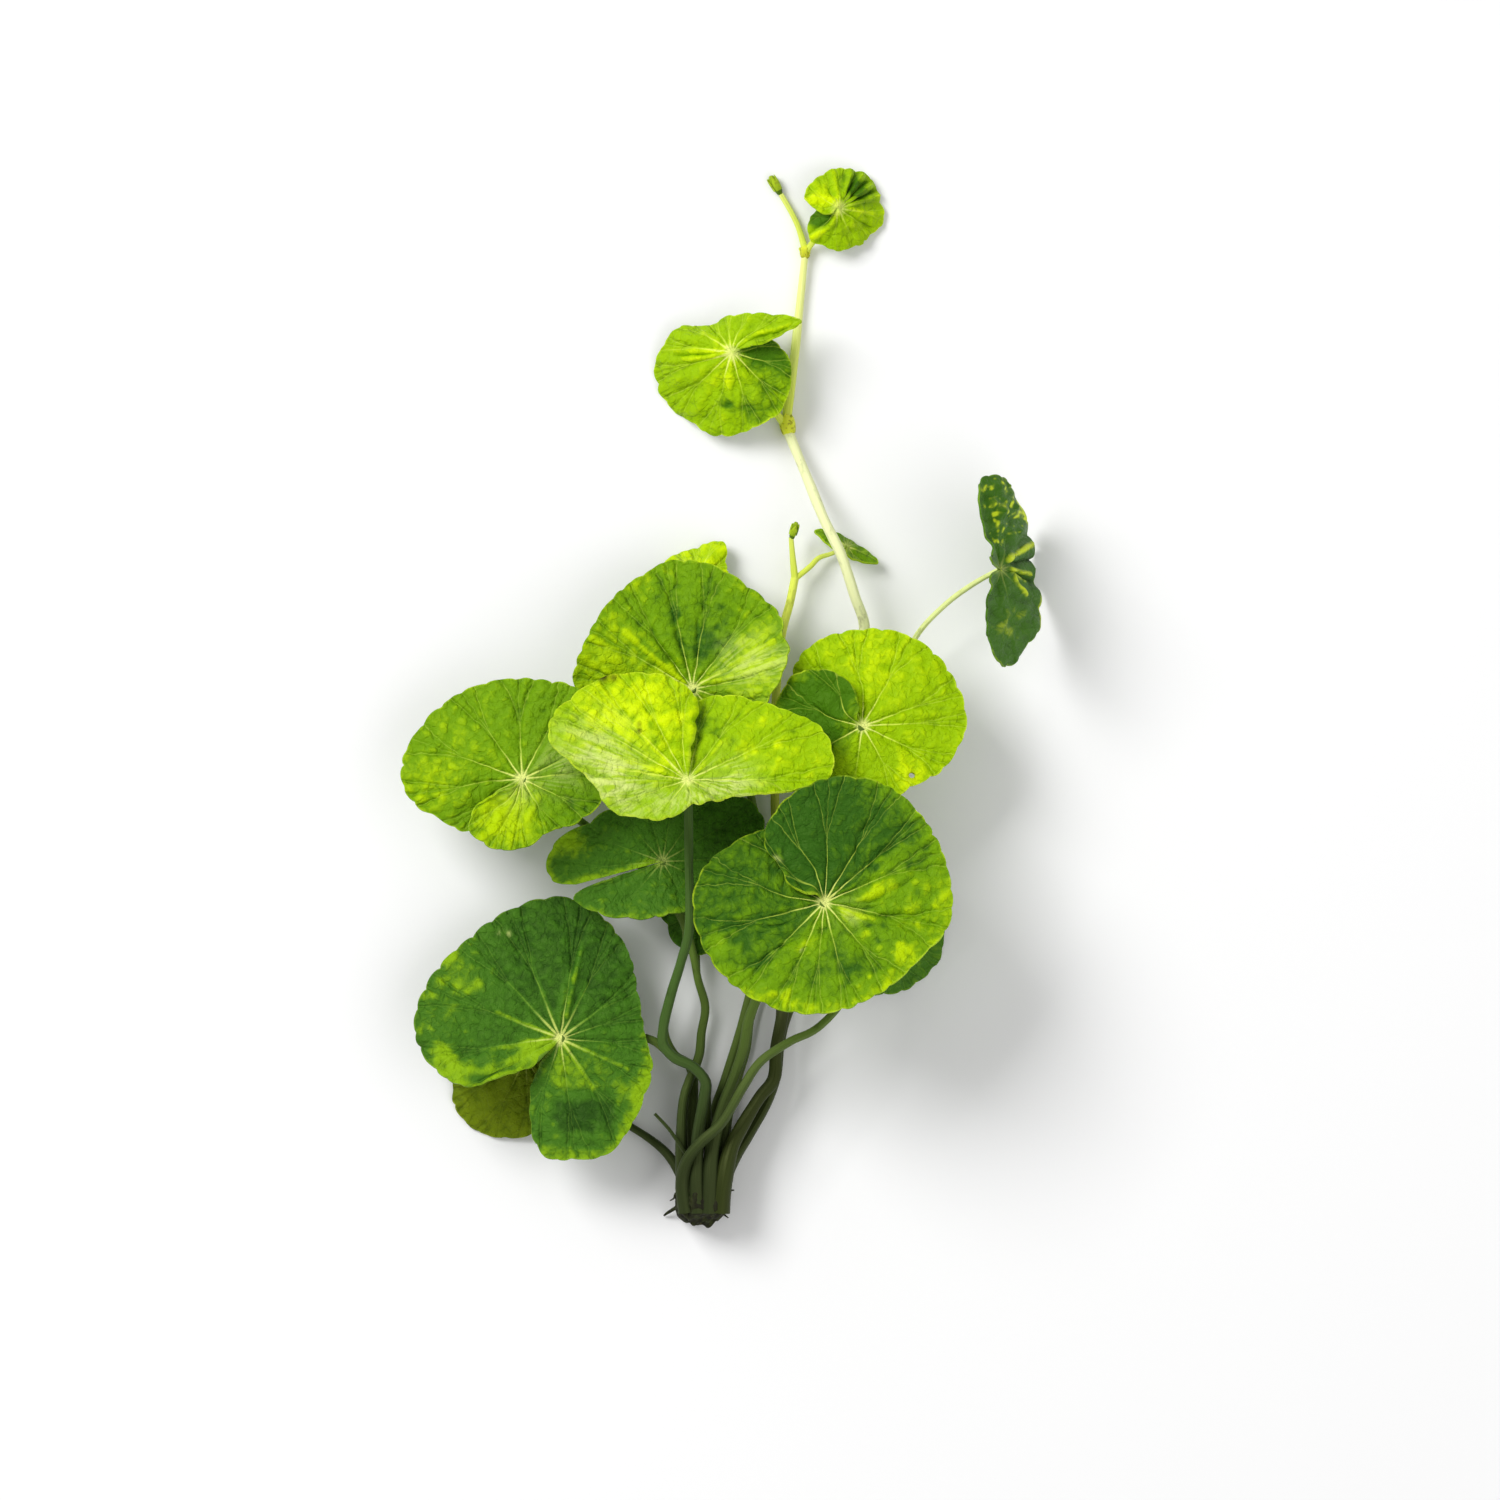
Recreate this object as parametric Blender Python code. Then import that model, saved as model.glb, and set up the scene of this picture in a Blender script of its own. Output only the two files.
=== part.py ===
"""Asiatic pennywort, a picked clump with one runner, lying on its back on a flat surface.

The tables are in millimetres and degrees, the meshes in metres. +Y runs from the cut crown to
the tip of the runner and +Z is up from the surface. The origin is on the surface, under the
middle of the plant. Every blade is a sheet stretched from its hub, where the petiole is
attached, to a margin that is given as bearings (anticlockwise from +X, seen from above) and
reaches. A blade with overlapping lobes has a margin that turns through more than 360 degrees.
"""

import math
from dataclasses import dataclass

import bmesh
import bpy
from mathutils import Vector

MM = 0.001

# Driving dimensions of the blades. A blade narrows to SINUS_SPAN degrees near its hub, so that
# its lobes only overlap further out, and rises or dips there over LAP_RUN of its widest reach.
BLADE_THICKNESS = 0.6
BLADE_RINGS = (0.28, 0.6, 1.0)
MARGIN_STEP = 4.6
FEWEST_MARGIN_STEPS = 16
MOST_MARGIN_STEPS = 36
FINE_STEPS = 720
CUPPING = 1.3
SINUS_SPAN = 338.0
SINUS_CLOSES = 0.28
SINUS_OPENS = 0.58
LAP_RUN = 0.16

# Driving dimensions of the petioles and the runner, with the gaps at their two ends.
TUBE_STEP = 6.0
FEWEST_TUBE_STEPS = 2
MOST_TUBE_STEPS = 60
TUBE_ROUNDNESS = 1
ROUTE_STEPS = 12
BASE_GAP = 0.75
HUB_GAP = 1.3

# The crown, where every petiole starts: a block of four columns and four rows of stem bases.
CROWN_FACE_Y = -88.0
CROWN_COLUMNS = (-6.9, -4.4, -1.9, 0.6)
CROWN_ROWS = (1.6, 4.1, 6.6, 9.1)
CROWN_SIDES = 16
CROWN_SQUARENESS = 3.2
SHARP_ANGLE = 50
# Distance along Y, middle X, middle Z, half width and half height of each ring of the crown.
CROWN_RINGS = (
    (-95.0, -3.6, 4.6, 1.7, 1.6),
    (-93.6, -3.5, 4.9, 3.9, 3.8),
    (-91.4, -3.2, 5.3, 5.2, 5.3),
    (-88.0, -3.1, 5.45, 5.35, 5.3),
)

# The runner's two joints and its fork.
NODE_1 = (11.8, 48.5, 1.9)
NODE_2 = (15.4, 80.0, 1.6)
SHOOT_FORK = (13.4, 21.0, 4.2)


@dataclass(frozen=True)
class Finish:
    """The plain colour of a group of pieces."""

    name: str
    colour: tuple
    roughness: float


LEAF_BRIGHT = Finish("leaf_bright", (0.33, 0.55, 0.01), 0.42)
LEAF_GREEN = Finish("leaf_green", (0.16, 0.36, 0.02), 0.45)
LEAF_DEEP = Finish("leaf_deep", (0.05, 0.17, 0.015), 0.48)
STEM_OLIVE = Finish("stem_olive", (0.09, 0.14, 0.03), 0.5)
STEM_PALE = Finish("stem_pale", (0.66, 0.72, 0.2), 0.42)
CROWN_DARK = Finish("crown_dark", (0.04, 0.045, 0.015), 0.7)


@dataclass(frozen=True)
class Leaf:
    """A blade: its hub, its margin as (bearing, reach) and that margin's (bearing, height)."""

    name: str
    finish: Finish
    hub: tuple
    margin: tuple
    height: tuple
    lap: float = 0.0


@dataclass(frozen=True)
class Stem:
    """A tapered round stalk along a smooth route, with its width at the start and the end."""

    name: str
    finish: Finish
    route: tuple
    widths: tuple


LEAVES = (
    Leaf(
        "leaf_front",
        LEAF_GREEN,
        hub=(18.6, -37.5, 31.0),
        margin=(
            (112, 6.0), (118, 11.0), (124, 15.0), (130, 17.0), (151, 20.2), (162, 22.3), (180, 23.7),
            (207, 22.9), (242, 21.1), (270, 19.9), (302, 19.1), (330, 20.0), (350, 22.8), (375, 23.0),
            (405, 23.5), (420, 23.8), (435, 23.4), (450, 22.2), (465, 20.6), (480, 18.4), (492, 16.2),
            (498, 13.9), (500, 10.8), (504, 9.3), (513, 7.3), (517, 6.0),
        ),
        height=((112, 31), (150, 31.5), (200, 32), (250, 35), (290, 36.5), (330, 34), (360, 31.5),
                (420, 29.5), (450, 30), (517, 31.5)),
        lap=2.8,
    ),
    Leaf(
        "leaf_centre",
        LEAF_BRIGHT,
        hub=(-5.9, -15.6, 27.0),
        margin=(
            (83, 13.0), (85, 15.2), (90, 16.5), (100, 18.8), (116, 21.6), (131, 24.1), (145, 25.8),
            (156, 27.0), (165, 25.5), (171, 21.4), (181, 17.4), (200, 14.9), (218, 10.8), (239, 8.2),
            (270, 4.9), (315, 5.4), (341, 9.0), (352, 16.3), (360, 25.0), (369, 26.6), (382, 25.7),
            (394, 22.0), (408, 19.2), (423, 17.1), (442, 14.5), (452, 12.5),
        ),
        height=((83, 21.5), (116, 22.5), (140, 24), (156, 26), (171, 29), (190, 32), (210, 35),
                (239, 38.5), (270, 40), (315, 39), (341, 34), (352, 30.4), (360, 28.0), (382, 24.5),
                (402, 22.5), (423, 21), (452, 20)),
        lap=-2.4,
    ),
    Leaf(
        "leaf_right",
        LEAF_BRIGHT,
        hub=(25.5, -5.9, 20.0),
        margin=(
            (98, 5.6), (103, 7.2), (111, 9.3), (118, 11.2), (129, 13.2), (145, 15.6),
            (161, 16.0), (180, 17.0), (225, 16.5), (270, 16.0), (299, 14.2), (315, 14.7), (332, 16.6),
            (347, 17.7), (360, 18.8), (390, 18.7), (420, 18.4), (450, 17.5), (480, 17.2), (501, 16.0),
            (508, 13.0), (511, 9.0),
        ),
        height=((98, 19.8), (120, 18.5), (145, 17.5), (180, 18), (225, 20.5), (270, 23), (300, 23),
                (330, 21), (360, 19), (405, 17), (450, 15.5), (480, 15.5), (511, 17)),
        lap=-2.4,
    ),
    Leaf(
        "leaf_left",
        LEAF_GREEN,
        hub=(-35.7, -15.4, 18.5),
        margin=(
            (207, 6.5), (209, 8.8), (217, 11.6), (225, 13.2), (243, 13.6), (270, 12.5), (288, 11.3),
            (303, 10.8), (311, 11.8), (329, 13.5), (343, 14.9), (360, 16.5), (390, 18.5), (405, 19.0),
            (424, 19.1), (438, 18.2), (467, 18.4), (497, 19.7), (510, 20.4), (530, 21.8), (543, 21.6),
            (555, 19.6), (564, 16.9), (576, 15.2), (582, 14.1), (590, 11.5), (596, 8.0),
        ),
        height=((207, 21), (223, 22.5), (256, 23), (288, 21.5), (311, 20.5), (343, 19.5), (375, 18.5),
                (405, 17), (450, 14), (497, 13), (530, 14), (555, 16.5), (596, 18)),
        lap=-2.4,
    ),
    Leaf(
        "leaf_back",
        LEAF_GREEN,
        hub=(-5.1, 0.8, 15.0),
        margin=(
            (275, 11.0), (280, 13.0), (295, 14.0), (330, 14.0), (352, 14.1), (366, 16.1), (374, 17.4),
            (383, 18.9), (391, 19.2), (398, 20.7), (414, 20.9), (423, 21.2), (441, 22.7), (462, 23.6),
            (469, 22.8), (490, 21.9), (513, 21.2), (537, 21.6), (555, 20.0), (575, 17.0), (595, 14.0),
            (615, 12.5), (625, 10.5),
        ),
        height=((275, 17), (310, 18), (345, 20), (374, 21), (388, 18.5), (405, 14), (435, 11.5),
                (450, 10.5), (470, 11), (500, 14.5), (512, 15), (537, 13.5), (570, 14), (625, 16)),
    ),
    Leaf(
        "leaf_mid",
        LEAF_DEEP,
        hub=(-10.5, -30.3, 12.0),
        margin=(
            (198, 14.0), (201, 17.4), (207, 16.9), (218, 15.2), (240, 12.0), (270, 9.9),
            (300, 10.0), (320, 11.5), (340, 14.5), (360, 17.5), (386, 20.0), (400, 18.5), (420, 15.5),
            (450, 13.0), (475, 13.0), (500, 14.0), (514, 15.5), (527, 19.1), (540, 20.9), (550, 20.2),
            (555, 16.5),
        ),
        height=((198, 13), (228, 14), (270, 16), (320, 14), (360, 13), (386, 11.5), (450, 9.5),
                (514, 12.5), (555, 12.5)),
    ),
    Leaf(
        "leaf_low",
        LEAF_DEEP,
        hub=(-28.9, -62.2, 12.0),
        margin=(
            (238, 8.0), (242, 11.0), (247, 13.8), (253, 17.7), (258, 20.0), (264, 21.7), (277, 22.0),
            (292, 22.6), (308, 20.5), (325, 18.6), (342, 17.6), (360, 15.5), (376, 15.4), (394, 16.8),
            (413, 20.1), (430, 23.1), (446, 25.5), (474, 24.9), (494, 24.6), (516, 26.0), (535, 26.5),
            (549, 24.5), (564, 20.4), (569, 17.9), (572, 14.0), (577, 10.0), (584, 7.6), (589, 4.5),
        ),
        height=((238, 10), (258, 12), (285, 13), (320, 12), (360, 11.5), (405, 9.5), (450, 8),
                (480, 8.5), (515, 11), (542, 13.5), (560, 15.5), (575, 16), (589, 13.5)),
    ),
    Leaf(
        "leaf_under",
        LEAF_GREEN,
        hub=(-35.2, -66.0, 5.0),
        margin=(
            (72, 9.0), (77, 11.5), (90, 13.0), (150, 13.5), (180, 13.5), (203, 14.3), (211, 15.7),
            (227, 15.8), (237, 15.8), (251, 15.1), (274, 14.0), (300, 13.5), (360, 12.5), (390, 12.0),
            (405, 11.0), (412, 9.0),
        ),
        height=((72, 6), (120, 6), (180, 3), (205, 0.7), (227, 0.3), (251, 0.5), (274, 1.8),
                (330, 4.5), (412, 5.5)),
    ),
    Leaf(
        "leaf_behind_front",
        LEAF_DEEP,
        hub=(28.7, -42.6, 9.0),
        margin=(
            (162, 8.5), (167, 10.5), (180, 11.5), (210, 12.0), (240, 12.0), (272, 11.9), (292, 12.0),
            (313, 11.8), (333, 12.1), (356, 11.7), (380, 12.0), (470, 12.0), (490, 11.3), (500, 8.5),
        ),
        height=((162, 10), (210, 11.5), (240, 11), (272, 8), (300, 2.6), (320, 0.1), (340, 0.7),
                (370, 4), (410, 7), (450, 9), (500, 10)),
    ),
    Leaf(
        "leaf_behind_mid",
        LEAF_GREEN,
        hub=(-3.7, -37.2, 5.0),
        margin=(
            (88, 7.0), (95, 8.3), (120, 9.0), (180, 8.5), (215, 7.7), (241, 9.3), (260, 10.1),
            (300, 9.8), (360, 9.5), (400, 9.0), (420, 8.3), (428, 7.0),
        ),
        height=((88, 4.5), (150, 4.2), (215, 4.5), (250, 5.2), (290, 5.5), (360, 5), (428, 4.5)),
    ),
    Leaf(
        "leaf_peek",
        LEAF_BRIGHT,
        hub=(-4.2, 20.8, 5.0),
        margin=(
            (280, 4.6), (288, 5.5), (320, 6.0), (375, 5.8), (392, 6.1), (405, 7.6), (416, 8.1),
            (430, 6.9), (450, 5.6), (483, 5.6), (511, 6.6), (540, 7.0), (580, 6.5), (605, 6.0),
            (618, 5.6), (626, 4.6),
        ),
        height=((280, 7), (350, 5.5), (405, 3), (450, 0.5), (483, 0.3), (511, 1.4), (560, 5),
                (626, 7)),
    ),
    Leaf(
        "leaf_runner",
        LEAF_BRIGHT,
        hub=(2.1, 61.5, 8.5),
        margin=(
            (15, 5.0), (18.5, 8.8), (20, 11.4), (21.5, 13.4), (26, 13.8), (33, 12.1),
            (43, 10.1), (58, 8.5), (72, 7.4), (90, 6.8), (122, 6.4), (132, 6.7), (145, 8.9),
            (154, 10.7), (166, 11.9), (177, 12.7), (188, 14.3), (216, 14.8), (237, 14.6), (243, 14.1),
            (251, 14.8), (261, 15.2), (291, 14.0), (308, 13.9), (324, 12.6), (336, 11.8), (360, 9.8),
            (376, 7.8), (385, 6.5), (390, 5.2),
        ),
        height=((15, 10.5), (21, 12.5), (33, 12), (58, 9), (90, 6), (122, 4.5), (150, 3.5), (180, 1.5),
                (205, 0.4), (225, 0.4), (243, 1.5), (270, 4.5), (300, 8), (324, 9), (390, 8.5)),
        lap=-2.0,
    ),
    Leaf(
        "leaf_top",
        LEAF_BRIGHT,
        hub=(21.2, 87.6, 6.0),
        margin=(
            (186, 2.5), (196, 5.1), (206, 6.0), (217, 6.7), (227, 7.5), (253, 7.3), (270, 7.6),
            (288, 7.4), (305, 7.8), (322, 7.5), (334, 8.1), (343, 8.3), (360, 7.8), (380, 7.6),
            (402, 8.1), (426, 7.6), (450, 7.2), (477, 6.8), (510, 6.8), (522, 6.5), (529, 5.8),
            (540, 4.6), (550, 3.8), (570, 2.5), (580, 1.8),
        ),
        height=((186, 5.5), (225, 4.5), (270, 3.5), (310, 2), (340, 0.6), (365, 0.25), (390, 0.6),
                (430, 2.5), (470, 4), (510, 5.5), (550, 6.3), (580, 6.3)),
        lap=1.6,
    ),
    Leaf(
        "leaf_side",
        LEAF_DEEP,
        hub=(50.2, 22.3, 17.5),
        margin=(
            (207, 2.0), (218, 2.4), (235, 3.2), (245, 4.0), (253, 7.7), (257, 10.5), (262, 13.7),
            (267, 16.7), (273, 17.7), (280, 16.9), (288, 14.8), (302, 13.0), (315, 10.5), (327, 8.9),
            (341, 6.9), (372, 6.7), (396, 7.7), (412, 8.3), (418, 10.0), (427, 11.4), (440, 13.8),
            (448, 16.4), (454, 17.1), (461, 16.7), (466, 14.7), (468, 11.9), (470, 8.1), (473, 4.3),
            (495, 2.8), (507, 2.3), (516, 2.1),
        ),
        height=((207, 32), (218, 31), (245, 27), (262, 22), (273, 17), (288, 10), (302, 5),
                (327, 1.1), (356, 0.1), (390, 0.5), (412, 2.2), (427, 6), (440, 11), (454, 18),
                (466, 23), (473, 27), (495, 31), (516, 32)),
    ),
    Leaf(
        "leaf_edge",
        LEAF_DEEP,
        hub=(22.7, 26.5, 3.0),
        margin=(
            (262, 1.5), (288, 1.9), (313, 3.4), (323, 4.9), (333, 6.6), (343, 4.9), (353, 3.4),
            (378, 1.9), (423, 1.4), (468, 1.9), (493, 3.4), (503, 4.9), (513, 6.5), (523, 4.9),
            (533, 3.4), (558, 1.9), (584, 1.5),
        ),
        height=((262, 6), (313, 4.5), (333, 2.8), (353, 1.1), (423, 0.3), (493, 1.1), (513, 2.6),
                (533, 4.5), (584, 6)),
    ),
)


def hub_of(name):
    """The hub of the blade with this name."""
    return next(leaf.hub for leaf in LEAVES if leaf.name == name)


def under(name, dx=0.0, dy=0.0, dz=-HUB_GAP):
    """Where a petiole ends: close to a hub, and by default straight below it."""
    x, y, z = hub_of(name)
    return (x + dx, y + dy, z + dz)


def base(column, row):
    """Where a stem starts on the crown's face, counting columns and rows from one."""
    return (CROWN_COLUMNS[column - 1], CROWN_FACE_Y + BASE_GAP, CROWN_ROWS[row - 1])


STEMS = (
    Stem(
        "petiole_front",
        STEM_OLIVE,
        (base(3, 4), (-1.5, -82.2, 9.1), (0.5, -74.3, 10.0), (2.3, -69.6, 11.0), (4.1, -64.2, 12.2),
         (5.3, -58.2, 14.0), (8.0, -52.0, 17.0), (12.0, -45.5, 21.5), (16.5, -40.0, 26.5),
         under("leaf_front")),
        (2.1, 1.5),
    ),
    Stem(
        "petiole_centre",
        STEM_OLIVE,
        (base(2, 4), (-4.1, -80.2, 9.2), (-3.0, -72.6, 11.6), (-2.8, -69.9, 12.4), (-5.1, -67.2, 12.6),
         (-8.4, -65.6, 12.6), (-10.4, -63.1, 12.2), (-10.4, -60.6, 12.4), (-9.1, -54.8, 14.5),
         (-7.1, -48.2, 17.5), (-5.7, -42.9, 19.5), (-5.7, -30.0, 21.5), (-5.8, -19.0, 24.6),
         under("leaf_centre")),
        (1.9, 1.5),
    ),
    Stem(
        "petiole_right",
        STEM_OLIVE,
        (base(4, 3), (0.8, -80.0, 6.9), (1.6, -74.3, 7.6), (2.9, -69.6, 8.3), (4.4, -64.2, 9.2),
         (5.3, -58.2, 9.8), (9.0, -48.0, 10.0), (12.0, -35.0, 11.0), (16.0, -22.0, 13.0),
         (22.0, -11.0, 16.2), under("leaf_right")),
        (1.8, 1.4),
    ),
    Stem(
        "petiole_left",
        STEM_OLIVE,
        (base(2, 2), (-5.3, -78.0, 4.3), (-5.0, -70.5, 4.6), (-5.6, -67.2, 5.0), (-8.4, -65.2, 6.6),
         (-10.3, -61.0, 7.4), (-9.1, -54.8, 8.0), (-7.1, -48.2, 8.4), (-6.2, -42.9, 7.7),
         (-12.0, -33.5, 7.8), (-19.0, -27.6, 8.2), (-24.8, -23.4, 9.2), (-30.0, -19.4, 13.0),
         (-34.2, -16.5, 16.2), under("leaf_left")),
        (1.8, 1.3),
    ),
    Stem(
        "petiole_back",
        STEM_OLIVE,
        (base(3, 2), (-1.9, -79.0, 4.6), (-0.8, -74.3, 5.3), (0.5, -70.8, 5.8), (2.6, -64.2, 6.6),
         (4.3, -58.2, 7.0), (6.2, -50.0, 7.2), (7.2, -38.0, 7.2), (6.5, -25.0, 7.5), (3.0, -10.0, 9.0),
         (-2.2, -2.4, 11.8), under("leaf_back")),
        (1.7, 1.4),
    ),
    Stem(
        "petiole_mid",
        STEM_OLIVE,
        (base(1, 3), (-7.1, -78.9, 6.8), (-6.6, -72.8, 6.9), (-5.5, -69.4, 7.0), (-3.9, -65.3, 7.4),
         (-3.5, -61.3, 8.0), (-2.8, -56.6, 8.6), (-4.1, -51.6, 9.2), (-5.2, -46.0, 9.8),
         (-8.0, -37.5, 10.0), (-9.8, -32.5, 10.4), under("leaf_mid")),
        (1.8, 1.2),
    ),
    Stem(
        "petiole_low",
        STEM_OLIVE,
        (base(3, 3), (-2.2, -80.0, 6.9), (-2.6, -73.0, 8.3), (-2.6, -69.8, 9.5), (-5.1, -67.2, 9.8),
         (-8.4, -65.6, 9.9), (-12.2, -62.6, 9.6), (-16.0, -61.8, 8.9), (-22.0, -61.8, 8.6),
         (-26.8, -62.3, 9.8), under("leaf_low")),
        (1.6, 1.3),
    ),
    Stem(
        "petiole_under",
        STEM_OLIVE,
        (base(1, 2), (-9.5, -83.4, 3.2), (-12.7, -80.6, 2.2), (-15.8, -78.6, 1.8), (-20.0, -76.0, 1.6),
         (-27.0, -71.2, 1.8), (-33.0, -67.2, 2.8), under("leaf_under")),
        (1.4, 1.0),
    ),
    Stem(
        "petiole_behind_front",
        STEM_OLIVE,
        (base(1, 4), (-6.0, -84.0, 10.8), (-3.3, -80.6, 12.1), (0.1, -77.5, 12.7), (4.1, -70.8, 13.3),
         (7.1, -66.4, 13.0), (12.5, -62.7, 12.3), (17.0, -60.6, 11.0), (22.0, -55.6, 8.6),
         (26.2, -48.6, 6.2), under("leaf_behind_front")),
        (1.8, 1.2),
    ),
    Stem(
        "petiole_behind_mid",
        STEM_OLIVE,
        (base(1, 1), (-6.9, -80.0, 1.7), (-6.3, -73.0, 1.9), (-4.2, -67.0, 2.2), (-3.5, -61.3, 2.6),
         (-2.8, -56.6, 3.0), (-4.1, -51.6, 3.0), (-4.2, -45.0, 2.6), under("leaf_behind_mid")),
        (1.4, 1.0),
    ),
    Stem(
        "petiole_side",
        STEM_OLIVE,
        (base(4, 2), (2.4, -84.0, 4.1), (5.2, -79.5, 4.2), (8.3, -74.0, 4.3), (10.0, -69.0, 4.3),
         (10.6, -64.2, 4.2), (11.6, -59.5, 4.0), (15.5, -50.0, 3.0), (19.5, -38.0, 2.6),
         (24.0, -22.0, 3.0), (28.6, -8.0, 5.0), (32.5, 3.0, 8.0), (35.2, 10.2, 10.3),
         (40.6, 16.1, 13.0), (45.5, 19.7, 15.4), under("leaf_side", -1.1, -0.5, -0.4)),
        (1.8, 0.9),
    ),
    Stem(
        "petiole_peek",
        STEM_OLIVE,
        (base(3, 1), (0.3, -77.0, 1.6), (2.2, -70.0, 1.7), (4.0, -64.0, 1.8), (5.4, -58.0, 1.9),
         (7.6, -50.0, 1.9), (8.4, -42.0, 1.9), (8.0, -32.0, 2.0), (5.5, -18.0, 2.2), (1.0, 0.0, 2.6),
         (-2.6, 14.0, 3.2), under("leaf_peek")),
        (1.4, 0.9),
    ),
    Stem(
        "stalk_thin",
        STEM_OLIVE,
        (base(2, 3), (-5.0, -85.3, 7.3), (-6.6, -82.6, 8.7), (-9.3, -78.6, 9.1), (-11.9, -75.8, 9.0)),
        (0.9, 0.6),
    ),
    Stem(
        "shoot_stem",
        STEM_PALE,
        (base(4, 1), (2.2, -84.0, 1.6), (5.0, -79.5, 1.7), (8.0, -74.0, 1.8), (9.8, -69.0, 1.8),
         (10.3, -64.2, 1.8), (10.7, -59.5, 1.9), (11.0, -50.0, 2.2), (10.8, -40.0, 2.4),
         (9.8, -20.0, 2.8), (10.0, 0.0, 3.4), (11.1, 11.1, 3.8), (12.5, 16.5, 4.1),
         (SHOOT_FORK[0], SHOOT_FORK[1] - 1.0, SHOOT_FORK[2])),
        (1.6, 1.5),
    ),
    Stem(
        "shoot_tip",
        STEM_PALE,
        ((SHOOT_FORK[0] - 0.2, SHOOT_FORK[1], SHOOT_FORK[2]), (13.0, 24.6, 4.8), (12.7, 27.6, 5.4)),
        (1.2, 0.9),
    ),
    Stem(
        "petiole_edge",
        STEM_PALE,
        ((SHOOT_FORK[0] + 1.2, SHOOT_FORK[1] + 0.1, SHOOT_FORK[2]), (16.2, 23.0, 3.4), (17.7, 24.5, 2.6),
         (20.0, 25.3, 1.9), under("leaf_edge", -0.9, -0.5, -0.6)),
        (1.0, 0.7),
    ),
    Stem(
        "runner_lower",
        STEM_PALE,
        (base(4, 4), (1.9, -82.0, 8.8), (4.1, -77.7, 8.2), (7.1, -72.8, 7.5), (9.6, -69.6, 7.2),
         (10.0, -64.2, 7.0), (10.9, -59.5, 7.0), (12.5, -50.0, 6.0), (13.8, -38.0, 4.6),
         (16.0, -22.0, 3.6), (20.0, -6.0, 3.4), (24.4, 5.0, 4.4), (26.0, 11.8, 6.0),
         (24.2, 17.6, 8.0), (21.7, 25.1, 8.9), (18.8, 31.1, 7.4), (15.6, 39.0, 4.2),
         (NODE_1[0] + 0.7, NODE_1[1] - 1.9, NODE_1[2] + 0.3)),
        (2.2, 1.8),
    ),
    Stem(
        "petiole_runner",
        STEM_PALE,
        ((NODE_1[0] - 1.3, NODE_1[1] + 1.3, NODE_1[2] + 0.9), (9.0, 52.0, 4.3), (5.5, 57.0, 5.8),
         (3.0, 60.3, 6.6), under("leaf_runner")),
        (1.4, 1.1),
    ),
    Stem(
        "runner_upper",
        STEM_PALE,
        ((NODE_1[0] + 0.2, NODE_1[1] + 2.0, NODE_1[2] - 0.1), (13.1, 59.0, 1.3), (14.1, 68.3, 1.2),
         (NODE_2[0] - 0.3, NODE_2[1] - 1.7, NODE_2[2] - 0.1)),
        (1.7, 1.4),
    ),
    Stem(
        "petiole_top",
        STEM_PALE,
        ((NODE_2[0] + 1.1, NODE_2[1] + 1.0, NODE_2[2] + 0.6), (18.2, 83.6, 2.9), (20.2, 86.2, 4.0),
         under("leaf_top", dz=-1.5)),
        (1.1, 0.9),
    ),
    Stem(
        "runner_tip",
        STEM_PALE,
        ((NODE_2[0] - 0.4, NODE_2[1] + 1.6, NODE_2[2] - 0.1), (14.1, 84.2, 1.3), (12.9, 86.8, 1.2),
         (11.2, 89.8, 1.2)),
        (1.1, 0.9),
    ),
)


@dataclass(frozen=True)
class Knob:
    """A rounded swelling or a bud: a turned spindle from one point to another."""

    name: str
    finish: Finish
    foot: tuple
    tip: tuple
    width: float
    fullness: float


# Fullness is where along its length a knob is widest.
KNOBS = (
    Knob("runner_node_1", STEM_PALE, (12.3, 47.0, 2.0), (11.8, 50.0, 1.9), 2.6, 0.5),
    Knob("runner_node_2", STEM_PALE, (15.3, 78.7, 1.6), (15.2, 81.2, 1.6), 2.2, 0.5),
    Knob("runner_bud", STEM_PALE, (10.9, 90.2, 1.2), (8.6, 94.2, 1.4), 1.9, 0.45),
    Knob("shoot_bud", STEM_PALE, (12.75, 28.0, 5.5), (13.7, 31.0, 6.0), 1.5, 0.5),
)
KNOB_PROFILE = (0.12, 0.3, 0.55, 0.8, 0.93)
KNOB_SIDES = 10
KNOB_END = 0.25


def material_of(finish):
    """The material of a finish, made once."""
    material = bpy.data.materials.get(finish.name)
    if material is None:
        material = bpy.data.materials.new(finish.name)
        material.use_nodes = True
        shader = material.node_tree.nodes["Principled BSDF"]
        shader.inputs["Base Color"].default_value = (*finish.colour, 1.0)
        shader.inputs["Roughness"].default_value = finish.roughness
        shader.inputs["Metallic"].default_value = 0.0
    return material


def add_object(name, data, finish):
    """Put a mesh or a curve in the scene under a name, with its finish."""
    obj = bpy.data.objects.new(name, data)
    data.materials.append(material_of(finish))
    bpy.context.scene.collection.objects.link(obj)
    return obj


def smooth_step(value):
    """Zero below 0, one above 1, and an even slope between."""
    value = min(max(value, 0.0), 1.0)
    return value * value * (3.0 - 2.0 * value)


def between(start, slope_0, stop, slope_1, span, u):
    """The smooth curve from a start to a stop with these slopes, at u from 0 to 1 along it."""
    return (
        (2 * u**3 - 3 * u**2 + 1) * start
        + (u**3 - 2 * u**2 + u) * span * slope_0
        + (3 * u**2 - 2 * u**3) * stop
        + (u**3 - u**2) * span * slope_1
    )


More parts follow.
